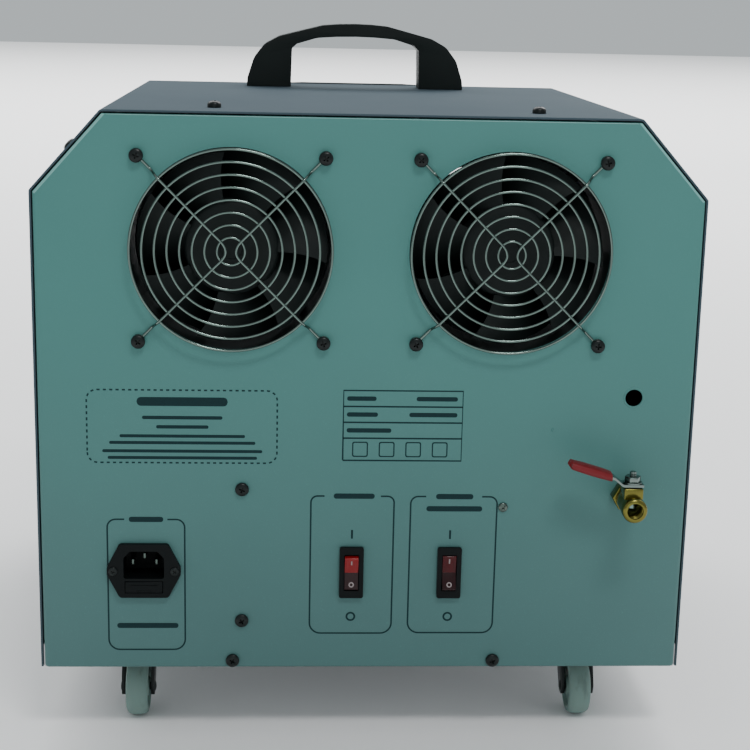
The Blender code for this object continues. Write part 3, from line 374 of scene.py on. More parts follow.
class Finish(Enum):
    """Every finish of the machine, each with the record's slot that it stands for."""

    # For PANEL and COVER the second colour is the painted shade towards the bottom.
    PANEL = ("panel_paint", PowderCoat("teal_powder_coat", (0.066, 0.205, 0.188),
                                       (0.066, 0.122, 0.126)))
    # Painted highlight: a lighter teal for the upward-facing faces of the panel's rolled edge,
    # standing in for the light that they catch.
    PANEL_EDGE = ("panel_paint", PowderCoat("teal_rolled_edge", (0.180, 0.420, 0.390),
                                            (0.180, 0.420, 0.390), shine=0.5))
    COVER = ("cover_paint", PowderCoat("grey_powder_coat", (0.058, 0.084, 0.102),
                                       (0.050, 0.072, 0.082), 0.02, 0.25, 0.55, 0.05))
    ZINC = ("zinc_sheet", BareMetal("zinc_plate", (0.50, 0.51, 0.52), 0.30, spangle=90.0))
    CHROME = ("chrome_wire", BareMetal("chromed_wire", (0.15, 0.20, 0.18), 0.07,
                                       (900.0, 900.0, 900.0)))
    STEEL = ("plated_steel", BareMetal("nickel_plate", (0.18, 0.22, 0.205), 0.14,
                                       (200.0, 2500.0, 200.0)))
    DULL_STEEL = ("plated_steel", BareMetal("dull_plate", (0.11, 0.14, 0.125), 0.20))
    BRASS = ("brass", BareMetal("turned_brass", (0.17, 0.155, 0.038), 0.13, (300.0, 3000.0, 300.0),
                                (0.09, 0.08, 0.018)))
    BLACK = ("black_plastic", Moulded("black_moulding", (0.006, 0.0095, 0.0090), 0.50,
                                        shine=0.2))
    GLOSS_BLACK = ("black_plastic", Moulded("black_fitting", (0.003, 0.0046, 0.0050), 0.36,
                                            shine=0.12))
    BLACK_STEEL = ("black_steel", Moulded("black_oxide_steel", (0.005, 0.008, 0.008), 0.26,
                                          1800.0, 0.05, (0.012, 0.016, 0.016), shine=0.25))
    RED = ("red_lens", Moulded("red_rocker_plastic", (0.23, 0.005, 0.007), 0.16, 900.0, 0.03,
                               coat=0.2, shine=0.3, subsurface=0.15))
    # Darker copies of the rocker's red: painted half shade and painted shade for the rocker faces
    # that turn away from the light.
    MID_RED = ("red_lens", Moulded("mid_red_rocker_plastic", (0.060, 0.004, 0.006), 0.17, 900.0,
                                   0.03, coat=0.1, shine=0.2, subsurface=0.1))
    DARK_RED = ("red_lens", Moulded("dark_red_rocker_plastic", (0.018, 0.003, 0.004), 0.18,
                                    900.0, 0.03, coat=0.1, shine=0.2))
    SLEEVE = ("red_vinyl", Moulded("red_dipped_vinyl", (0.165, 0.005, 0.009), 0.36, 700.0, 0.05,
                                   coat=0.05, shine=0.3))
    NYLON = ("pale_nylon", Moulded("pale_nylon_tread", (0.17, 0.26, 0.235), 0.42, 900.0, 0.06,
                                   (0.08, 0.11, 0.10), shine=0.3, subsurface=0.1))
    MILKY = ("milky_plastic", Moulded("milky_polyethylene", (0.70, 0.72, 0.70), 0.38, 500.0,
                                      0.05, subsurface=0.3))
    WAND = ("wand_plastic", Moulded("wand_moulding", (0.02, 0.22, 0.07), 0.28, 900.0, 0.04,
                                    coat=0.3))
    HOSE = ("clear_hose", Moulded("soft_hose", (0.55, 0.62, 0.58), 0.25, 500.0, 0.03,
                                  transmission=0.3))
    INK = ("panel_paint", Ink("dark_teal_ink", (0.004, 0.022, 0.025)))
    WHITE_INK = ("red_lens", Ink("white_ink", (0.26, 0.22, 0.22)))
    SHADOW = ("black_steel", Moulded("deep_recess", (0.003, 0.004, 0.004), 0.6, shine=0.1))

    @property
    def slot(self) -> str:
        """The record's material slot."""
        return self.value[0]

    def material(self) -> bpy.types.Material:
        """The finish's material, made once."""
        maker = self.value[1]
        return bpy.data.materials.get(maker.name) or maker.build()


# ---- Outlines ------------------------------------------------------------------------------
def circle(centre: Pair, radius: float, count: int, start: float = 0.0) -> list[Pair]:
    """Points round a circle.

    Args:
        centre: its middle.
        radius: its radius.
        count: how many points.
        start: angle of the first one.

    Returns:
        The points, counter-clockwise.
    """
    return [(centre[0] + radius * math.cos(start + math.tau * i / count),
             centre[1] + radius * math.sin(start + math.tau * i / count)) for i in range(count)]


def rectangle(centre: Pair, width: float, height: float) -> list[Pair]:
    """The corners of a rectangle about its centre."""
    u, v, a, b = centre[0], centre[1], width / 2, height / 2
    return [(u - a, v - b), (u + a, v - b), (u + a, v + b), (u - a, v + b)]


def rounded(points: Sequence[Pair], radius: float | Sequence[float], steps: int = 5,
            closed: bool = True) -> list[Pair]:
    """An outline with its corners rounded.

    Args:
        points: the sharp corners.
        radius: one radius, or one for each corner.
        steps: points on each corner's arc.
        closed: whether the outline closes; an open one keeps its two ends.

    Returns:
        The rounded outline.
    """
    count = len(points)
    radii = [radius] * count if isinstance(radius, float) else list(radius)
    made: list[Pair] = []
    for index, (point, size) in enumerate(zip(points, radii)):
        if size <= 0 or (not closed and index in (0, count - 1)):
            made.append(tuple(point))
            continue
        here = Vector(point)
        back = (Vector(points[index - 1]) - here).normalized()
        ahead = (Vector(points[(index + 1) % count]) - here).normalized()
        half = math.acos(max(-1.0, min(1.0, back.dot(ahead)))) / 2
        reach = min(size / math.tan(half), 0.49 * (Vector(points[index - 1]) - here).length,
                    0.49 * (Vector(points[(index + 1) % count]) - here).length)
        first, last = here + back * reach, here + ahead * reach
        centre = here + (back + ahead).normalized() * reach / math.cos(half)
        start = first - centre
        swing = start.angle_signed(last - centre)
        for step in range(steps + 1):
            turn = Matrix.Rotation(-swing * step / steps, 2)
            made.append(tuple(centre + turn @ start))
    return made


def stroke(points: Sequence[Pair], width: float) -> list[Pair]:
    """The outline of a line of some width along an open run of points."""
    left: list[Pair] = []
    right: list[Pair] = []
    for index, point in enumerate(points):
        before = Vector(points[max(0, index - 1)])
        after = Vector(points[min(len(points) - 1, index + 1)])
        normal = (after - before).normalized().orthogonal() * width / 2
        left.append(tuple(Vector(point) + normal))
        right.append(tuple(Vector(point) - normal))
    return left + right[::-1]


# ---- Mesh tools ----------------------------------------------------------------------------
def publish(name: str, mesh: bpy.types.Mesh, angle: float = 32.0) -> bpy.types.Object:
    """Link a mesh to the scene as an object, shaded smooth below the angle."""
    mesh.shade_smooth()
    mesh.set_sharp_from_angle(angle=math.radians(angle))
    made = bpy.data.objects.new(name, mesh)
    bpy.context.scene.collection.objects.link(made)
    return made


def from_bmesh(name: str, shape: bmesh.types.BMesh, angle: float = 32.0) -> bpy.types.Object:
    """An object from a bmesh, its faces turned outwards."""
    bmesh.ops.recalc_face_normals(shape, faces=shape.faces)
    mesh = bpy.data.meshes.new(name)
    shape.to_mesh(mesh)
    shape.free()
    return publish(name, mesh, angle)


def block(name: str, low: Sequence[float], high: Sequence[float],
          soft: float = 0.0, steps: int = 3) -> bpy.types.Object:
    """A box between two corners with rounded edges.

    Args:
        name: its name.
        low: lowest corner.
        high: highest corner.
        soft: radius of its edges.
        steps: segments across each rounded edge.

    Returns:
        The object.
    """
    low, high = Vector(low), Vector(high)
    shape = bmesh.new()
    bmesh.ops.create_cube(shape, size=1.0)
    bmesh.ops.scale(shape, vec=high - low, verts=shape.verts)
    bmesh.ops.translate(shape, vec=(low + high) / 2, verts=shape.verts)
    if soft:
        bmesh.ops.bevel(shape, geom=shape.edges[:], offset=soft, segments=steps, profile=0.5,
                        affect="EDGES", clamp_overlap=True)
    return from_bmesh(name, shape)


def turned_to(axis: Sequence[float]) -> Matrix:
    """The rotation that takes +Z to the axis."""
    return Vector((0, 0, 1)).rotation_difference(Vector(axis)).to_matrix().to_4x4()


def lathe(name: str, profile: Sequence[Pair], centre: Sequence[float], axis: Sequence[float],
          steps: int = 48, closed: bool = False) -> bpy.types.Object:
    """A turned piece.

    Args:
        name: its name.
        profile: (radius, height) points; a solid one starts and ends on the axis.
        centre: where height zero is.
        axis: the way height runs.
        steps: facets round it.
        closed: whether the profile joins its last point to its first, leaving a bore.

    Returns:
        The object.
    """
    shape = bmesh.new()
    where = Matrix.Translation(Vector(centre)) @ turned_to(axis)
    rings: list[list[bmesh.types.BMVert]] = []
    for radius, height in profile:
        count = steps if radius > 1e-7 else 1
        rings.append([shape.verts.new(where @ Vector((u, v, height)))
                      for u, v in circle((0, 0), radius, count)])
    pairs = list(zip(rings, rings[1:] + rings[:1]))
    for first, last in pairs if closed else pairs[:-1]:
        for index in range(steps):
            ring = [first[index % len(first)], first[(index + 1) % len(first)],
                    last[(index + 1) % len(last)], last[index % len(last)]]
            corners = list(dict.fromkeys(ring))
            if len(corners) > 2:
                shape.faces.new(corners)
    return from_bmesh(name, shape)


def plate(name: str, outlines: Sequence[Sequence[Pair]], low: float, high: float,
          along: Along = Along.Y, soft: float = 0.0, steps: int = 2,
          sharp: float = 40.0) -> bpy.types.Object:
    """An outline with its holes, extruded along an axis, with softened edges.

    Args:
        name: its name.
        outlines: the outside and any holes, as (x, z) along Y, (y, z) along X, (x, y) along Z.
        low: where the extrusion starts.
        high: where it ends.
        along: the axis.
        soft: radius of the edges.
        steps: segments across a rounded edge.
        sharp: an edge that turns more than this many degrees is rounded.

    Returns:
        The object.
    """
    data = bpy.data.curves.new(name, "CURVE")
    data.dimensions = "2D"
    data.fill_mode = "BOTH"
    data.extrude = (high - low) / 2
    for outline in outlines:
        spline = data.splines.new("POLY")
        spline.points.add(len(outline) - 1)
        for point, (u, v) in zip(spline.points, outline):
            point.co = (u, v, 0, 1)
        spline.use_cyclic_u = True
    shape = curve_shape(name, data)
    middle = (low + high) / 2
    shift = Matrix.Translation((0, 0, -middle if along is Along.Y else middle))
    bmesh.ops.transform(shape, matrix=Matrix(along.value) @ shift, verts=shape.verts)
    made = from_bmesh(name, shape)
    return soften(made, soft, steps, sharp) if soft else made


def wire(name: str, points: Sequence[Sequence[float]], radius: float, closed: bool = False,
         sides: int = 3, smooth: int = 0) -> bpy.types.Object:
    """A round wire through the points.

    Args:
        name: its name.
        points: its route.
        radius: its radius.
        closed: whether it closes on itself.
        sides: the curve's bevel resolution.
        smooth: rounds of corner cutting along the route.

    Returns:
        The object.
    """
    route = [Vector(p) for p in points]
    for _ in range(smooth):
        cut = [route[0]]
        for first, last in zip(route, route[1:]):
            cut += [first.lerp(last, 0.25), first.lerp(last, 0.75)]
        route = cut + [route[-1]]
    data = bpy.data.curves.new(name, "CURVE")
    data.dimensions = "3D"
    data.bevel_depth = radius
    data.bevel_resolution = sides
    data.use_fill_caps = not closed
    spline = data.splines.new("POLY")
    spline.points.add(len(route) - 1)
    for point, place in zip(spline.points, route):
        point.co = (*place, 1)
    spline.use_cyclic_u = closed
    return from_bmesh(name, curve_shape(name, data), 50.0)


def curve_shape(name: str, data: bpy.types.Curve) -> bmesh.types.BMesh:
    """The surface that a curve makes, with its doubled points merged."""
    guide = bpy.data.objects.new(name, data)
    bpy.context.scene.collection.objects.link(guide)
    shape = bmesh.new()
    shape.from_mesh(evaluated_mesh(guide))
    bpy.data.objects.remove(guide, do_unlink=True)
    bmesh.ops.remove_doubles(shape, verts=shape.verts, dist=WELD)
    return shape


def evaluated_mesh(obj: bpy.types.Object) -> bpy.types.Mesh:
    """The object's mesh with its modifiers applied."""
    bpy.context.view_layer.update()
    return bpy.data.meshes.new_from_object(
        obj.evaluated_get(bpy.context.evaluated_depsgraph_get()))


def settle(obj: bpy.types.Object) -> bpy.types.Object:
    """Apply an object's modifiers to its mesh."""
    mesh = evaluated_mesh(obj)
    obj.modifiers.clear()
    obj.data = mesh
    mesh.shade_smooth()
    mesh.set_sharp_from_angle(angle=math.radians(32.0))
    return obj


def soften(obj: bpy.types.Object, width: float, steps: int = 2,
           sharp: float = 40.0) -> bpy.types.Object:
    """Round the edges that turn more than an angle."""
    bevel = obj.modifiers.new("Soft edges", "BEVEL")
    bevel.width = width
    bevel.segments = steps
    bevel.limit_method = "ANGLE"
    bevel.angle_limit = math.radians(sharp)
    bevel.harden_normals = False
    return settle(obj)


def carve(obj: bpy.types.Object, *tools: bpy.types.Object,
          operation: str = "DIFFERENCE") -> bpy.types.Object:
    """Cut tools out of an object, or join them to it, and remove the tools."""
    for tool in tools:
        step = obj.modifiers.new(tool.name, "BOOLEAN")
        step.object = tool
        step.operation = operation
        step.solver = "EXACT"
        settle(obj)
        bpy.data.objects.remove(tool, do_unlink=True)
    return obj


def gather(name: str, pieces: Iterable[bpy.types.Object]) -> bpy.types.Object:
    """Several meshes as one object, in world coordinates."""
    shape = bmesh.new()
    for piece in pieces:
        part = piece.data.copy()
        part.transform(piece.matrix_world)
        shape.from_mesh(part)
        bpy.data.objects.remove(piece, do_unlink=True)
    return from_bmesh(name, shape, 40.0)


def rod(name: str, start: Sequence[float], axis: Sequence[float], length: float,
        radius: float, steps: int = 32, soft: float = 0.0) -> bpy.types.Object:
    """A round rod from a start point, with softened ends."""
    ends = [(0.0, 0.0), (radius - soft, 0.0), (radius, soft), (radius, length - soft),
            (radius - soft, length), (0.0, length)]
    if not soft:
        ends = [ends[0], (radius, 0.0), (radius, length), ends[5]]
    return lathe(name, ends, start, axis, steps)


# ---- The machine's frame -------------------------------------------------------------------
@dataclass
class Machine:
    """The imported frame, with the places that several sub-assemblies share."""

    frame: dict
    made: int = 0

    def box(self, node: str) -> tuple[Vector, Vector]:
        """Lowest and highest corner of a node."""
        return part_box(node)

    def middle(self, node: str) -> Vector:
        """The centre of a node's box."""
        low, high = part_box(node)
        return (low + high) / 2

    @property
    def rear(self) -> float:
        """The outer face of the connection panel."""
        return self.box("rear_panel")[1].y

    def show(self, piece: bpy.types.Object, finish: Finish | Sequence[Finish], body: str,
             *nodes: str) -> bpy.types.Object:
        """Dress a piece, hang it on a body and let it stand for CAD nodes.

        Args:
            piece: the object.
            finish: its finish, or one for each material index of its faces.
            body: the body that it rides on.
            nodes: the CAD nodes that it replaces.

        Returns:
            The piece.
        """
        finishes = [finish] if isinstance(finish, Finish) else list(finish)
        for one in finishes:
            piece.data.materials.append(one.material())
        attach(piece, body)
        if nodes:
            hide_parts(*nodes)
        self.made += 1
        LOG.info("%s: %s faces, %s", piece.name, len(piece.data.polygons), finishes[0].name)
        return piece

    def dress(self, node: str, finish: Finish) -> None:
        """Give a CAD node that stays its material."""
        piece = self.frame["nodes"][node]
        piece.data.materials.clear()
        piece.data.materials.append(finish.material())
        LOG.info("%s: frame node, %s", node, finish.name)


# ---- Screws --------------------------------------------------------------------------------
@dataclass
class Screw:
    """A pan-head screw with a cross recess."""

    radius: float = 0.0040
    height: float = 0.0026
    shank: float = 0.0017
    arm: float = 0.0021
    slot: float = 0.00042

    def build(self, name: str, seat: Sequence[float], axis: Sequence[float], turn: float,
              length: float = 0.008) -> bpy.types.Object:
        """Make the screw.

        Args:
            name: its name.
            seat: the middle of the underside of its head.
            axis: the way the head points.
            turn: angle of the recess.
            length: how far the shank goes in.

        Returns:
            The object.
        """
        r, h = self.radius, self.height
        dome = [(r * math.sin(a), h * (0.42 + 0.58 * math.cos(a)))
                for a in (math.radians(d) for d in (0, 22, 42, 60, 75, 88))]
        profile = [(0.0, h)] + dome[1:] + [(r, 0.0003), (r - 0.0003, 0.0), (self.shank, 0.0),
                                           (self.shank, -length), (0.0, -length)]
        screw = lathe(name, profile, (0, 0, 0), (0, 0, 1), 32)
        recess = []
        for quarter in (0.0, math.pi / 2):
            tip = [(-self.arm, h + 0.001), (-self.arm * 0.55, h * 0.18),
                   (self.arm * 0.55, h * 0.18), (self.arm, h + 0.001)]
            blade = plate(name + "_blade", [tip], -self.slot, self.slot, Along.Y)
            blade.data.transform(Matrix.Rotation(turn + quarter, 4, "Z"))
            recess.append(blade)
        carve(screw, *recess)
        screw.data.transform(Matrix.Translation(Vector(seat)) @ turned_to(axis))
        return screw

    def fit(self, machine: Machine, name: str, seat: Sequence[float], axis: Sequence[float],
            turn: float, *nodes: str, finish: Finish = Finish.BLACK_STEEL,
            length: float = 0.008) -> None:
        """Make the screw and show it on the machine's body."""
        machine.show(self.build(name, seat, axis, turn, length), finish, "machine", *nodes)


# ---- Case ----------------------------------------------------------------------------------
@dataclass
class Case:
    """The folded sheets: wrap-round cover, connection panel, front panel and their screws."""

    machine: Machine
    corner_run: float = 0.040
    corner_drop: float = 0.045
    sheet: float = 0.0012
    bend: float = 0.0022
    fold: float = 0.0024
    gap: float = 0.0003
    lip: float = 0.0024
    cable_hole: Triple = (-0.1548, 0.0053, 0.1684)
    fan_opening: float = 0.0575

    def section(self, inset: float, low: float) -> list[Pair]:
        """The six-sided section of the case, moved inwards by an inset, from a height up."""
        corner = self.machine.box("cover")[1]
        width, top = corner.x, corner.z
        half, crown = width - inset, top - inset
        slope = math.hypot(self.corner_run, self.corner_drop)
        reach = (self.corner_drop * (width - self.corner_run) + self.corner_run * top
                 - inset * slope)
        across = (reach - self.corner_run * crown) / self.corner_drop
        down = (reach - self.corner_drop * half) / self.corner_run
        return [(-half, low), (-half, down), (-across, crown), (across, crown), (half, down),
                (half, low)]

    def build_cover(self) -> None:
        """One sheet bent round the machine, cut back along the sloping mouth."""
        low, high = self.machine.box("cover")
        outer = rounded(self.section(0.0, low.z), self.bend, 5, closed=False)
        inner = rounded(self.section(self.sheet, low.z), self.bend - self.sheet, 5, closed=False)
        cover = plate("cover_sheet", [outer + inner[::-1]], low.y, high.y - self.lip, Along.Y)
        top_front = self.top_front()
        front_low = Vector((low.y, self.machine.box("front_panel")[1].z))
        slope = (Vector((top_front, high.z)) - front_low) * 0.2
        wedge = plate("mouth_wedge", [[tuple(front_low - slope),
                                       tuple(Vector((top_front, high.z)) + slope),
                                       (low.y - 0.1, high.z + slope.y)]],
                      low.x - CLEAR, high.x + CLEAR, Along.X)
        carve(cover, wedge)
        soften(cover, 0.00025, 2, 60.0)
        self.machine.show(cover, Finish.COVER, "machine", "cover")
        edge = self.rim(front_low, top_front, high.z)
        self.machine.show(edge, Finish.BLACK, "machine")

    def top_front(self) -> float:
        """Where the flat top ends and the mouth's slope begins."""
        mesh = self.machine.frame["nodes"]["cover"].data
        top = self.machine.box("cover")[1].z - 0.002
        return min(v.co.y for v in mesh.vertices if v.co.z > top)

    def rim(self, front_low: Vector, top_front: float, top: float) -> bpy.types.Object:
        """The rubber edging pushed over the cut edge of the mouth.

        Args:
            front_low: where the mouth's slope starts, as depth and height.
            top_front: how deep the flat top begins.
            top: its height.

        Returns:
            The edging.
        """
        section = self.section(self.sheet / 2, front_low.y)
        points = []
        for x, z in section:
            share = (z - front_low.y) / (top - front_low.y)
            points.append((x, front_low.x + (top_front - front_low.x) * min(1.0, share), z))
        points[0] = (points[0][0], points[0][1] + 0.001, points[0][2] + 0.003)
        points[-1] = (points[-1][0], points[-1][1] + 0.001, points[-1][2] + 0.003)
        return wire("mouth_edging", points, 0.0016, smooth=2)

    def build_rear_panel(self) -> None:
        """The connection panel, its edges folded forwards, with an opening for each fitting and a
        painted highlight along its upper folds.
        """
        m = self.machine
        low, high = m.box("rear_panel")
        inset = m.box("cover")[1].x - high.x + self.gap
        panel = plate("connection_panel", [self.section(inset, low.z)], low.y, high.y, Along.Y,
                      self.fold, 4, 60.0)
        inner = self.section(inset + self.sheet, low.z - 0.02)
        carve(panel, plate("panel_hollow", [inner], low.y - CLEAR, high.y - self.sheet))
        tray_top = m.box("base_tray")[1].z + 0.002
        carve(panel, block("panel_notch", (low.x - CLEAR, low.y - CLEAR, low.z - CLEAR),
                           (high.x + CLEAR, high.y - self.sheet, tray_top)))
        tools = []
        for side in Side:
            fan = m.middle("impeller_" + side.tag)
            tools.append(plate("fan_opening", [circle((fan.x, fan.z), self.fan_opening, 96)],
                               high.y - 0.005, high.y + 0.005))
        for node in ("switch_housing_manual", "switch_housing_remote", "power_inlet"):
            centre, size = m.middle(node), m.box(node)[1] - m.box(node)[0]
            wide, tall = size.x * 0.32, size.z * 0.40
            tools.append(block(node + "_opening",
                               (centre.x - wide, high.y - 0.005, centre.z - tall),
                               (centre.x + wide, high.y + 0.005, centre.z + tall)))
        valve = m.middle("valve_body")
        base = m.box("base_tray")[0].z
        for x, z, radius in ((self.cable_hole[0], base + self.cable_hole[2], self.cable_hole[1]),
                             (valve.x, m.middle("valve_lock_nut").z, 0.0065)):
            tools.append(rod("round_hole", (x, high.y - 0.005, z), (0, 1, 0), 0.01, radius, 40))
        carve(panel, *tools)
        # Painted highlight: the faces of the folds that turn upwards and outwards get the lighter
        # teal.
        for face in panel.data.polygons:
            face.material_index = int(0.3 < face.normal.y < 0.97 and face.normal.z > 0.05)
        m.show(panel, (Finish.PANEL, Finish.PANEL_EDGE), "machine", "rear_panel")
        self.build_hole_lining(base)

    def build_hole_lining(self, base: float) -> None:
        """The thin rolled rim of the round cable hole, and the small dimple near it."""
        y = self.machine.rear
        x, r, rise = self.cable_hole
        rim = lathe("cable_hole_rim", [(r, 0.0003), (r + 0.0006, 0.00025), (r + 0.0009, 0.0),
                                       (r + 0.0007, -0.0010), (r - 0.0002, -0.0012),
                                       (r - 0.0003, 0.0)],
                    (x, y + 0.00002, base + rise), (0, 1, 0), 40, closed=True)
        self.machine.show(rim, Finish.PANEL, "machine")
        dimple = lathe("panel_dimple", [(0.0, 0.0006), (0.0006, 0.0005), (0.0009, 0.0),
                                        (0.0, 0.0)], (-0.1082, y, base + 0.1488), (0, 1, 0), 16)
        self.machine.show(dimple, Finish.PANEL, "machine")

    def build_front_panel(self) -> None:
        """The low front panel with its top edge folded back over the tank."""
        m = self.machine
        low, high = m.box("front_panel")
        outline = rounded([(low.x, low.z), (high.x, low.z), (high.x, high.z), (low.x, high.z)],
                          [0, 0, 0.003, 0.003], 4)
        panel = plate("tank_panel", [outline], low.y, high.y, Along.Y, self.fold, 4, 60.0)
        t = self.sheet
        carve(panel, block("panel_hollow", (low.x + t, low.y + t, low.z - CLEAR),
                           (high.x - t, high.y + CLEAR, high.z - t)),
              block("panel_notch", (low.x - CLEAR, low.y + t, low.z - CLEAR),
                    (high.x + CLEAR, high.y + CLEAR, m.box("base_tray")[1].z + 0.002)))
        m.show(panel, Finish.PANEL, "machine", "front_panel")
        for side in Side:
            for index, z in enumerate((low.z + 0.020, high.z - 0.022)):
                Screw().fit(m, f"front_screw_{side.tag}_{index}",
                            (side.value * (high.x - 0.012), low.y, z), (0, -1, 0), 0.4 + index)

    def build_screws(self) -> None:
        """The screws that hold cover and panel together."""
        m = self.machine
        low, high = m.box("cover")
        for index in range(1, 9):
            self.fit_panel_screw(f"guard_screw_{index}", 0.3 * index)
        for index, node in enumerate(("box_screw_1", "box_screw_2", "tray_screw_left",
                                      "tray_screw_right")):
            self.fit_panel_screw(node, 0.5 + 0.7 * index)
        for side, x in ((Side.RIGHT, 0.0900), (Side.LEFT, -0.0971)):
            Screw(height=0.0040).fit(m, "cover_screw_" + side.tag, (x, high.y - 0.034, high.z),
                                     (0, 0, 1), 0.4)
            slope = Vector((side.value * self.corner_drop, 0, self.corner_run)).normalized()
            middle = Vector((side.value * (high.x - self.corner_run / 2), high.y - 0.030,
                             high.z - self.corner_drop / 2))
            Screw().fit(m, "corner_screw_" + side.tag, middle, slope, 0.2)
            for row, y in enumerate((high.y - 0.030, low.y + 0.040)):
                Screw().fit(m, f"side_screw_{side.tag}_{row}",
                            (side.value * high.x, y, low.z + 0.009), (side.value, 0, 0), 0.5)
        base = m.box("base_tray")[0].z
        Screw(0.0028, 0.0018, 0.0012, 0.0015, 0.0003).fit(
            m, "small_silver_screw", (-0.0807, m.rear, base + 0.1015), (0, 1, 0), 0.8,
            finish=Finish.DULL_STEEL)

    def fit_panel_screw(self, node: str, turn: float) -> None:
        """A screw in place of the CAD one."""
        m = self.machine
        low, high = m.box(node)
        centre = m.middle(node)
        seat = high.y - 0.0026
        Screw().fit(m, node + "_head", (centre.x, seat, centre.z), (0, 1, 0), turn, node,
                    length=seat - low.y)

    def build_inner_sheets(self) -> None:
        """Base tray and bulkhead, with a row of rivets along the bulkhead."""
        m = self.machine
        m.dress("base_tray", Finish.ZINC)
        m.dress("bulkhead", Finish.ZINC)
        low, high = m.box("bulkhead")
        rivets = []
        for side in Side:
            for z in (low.z + 0.06, low.z + 0.15, low.z + 0.24):
                rivets.append(lathe("rivet", [(0.0, 0.0011), (0.0012, 0.0009), (0.0019, 0.0002),
                                              (0.0019, 0.0), (0.0, 0.0)],
                                    (side.value * (high.x - 0.012), low.y, z), (0, -1, 0), 16))
        m.show(gather("bulkhead_rivets", rivets), Finish.STEEL, "machine")
        nozzles = []
        for side in Side:
            fan = m.middle("impeller_" + side.tag)
            nozzles.append(lathe("nozzle", [(0.0278, -0.0090), (0.0284, -0.0092),
                                            (0.0288, -0.0088), (0.0292, -0.0010),
                                            (0.0330, -0.0006), (0.0330, -0.0002),
                                            (0.0280, -0.0002)],
                                 (fan.x, low.y, fan.z), (0, 1, 0), 64, closed=True))
        m.show(gather("air_nozzles", nozzles), Finish.BLACK, "machine")

    def build(self) -> None:
        """Everything of the case."""
        self.build_cover()
        self.build_rear_panel()
        self.build_front_panel()
        self.build_inner_sheets()
        self.build_screws()


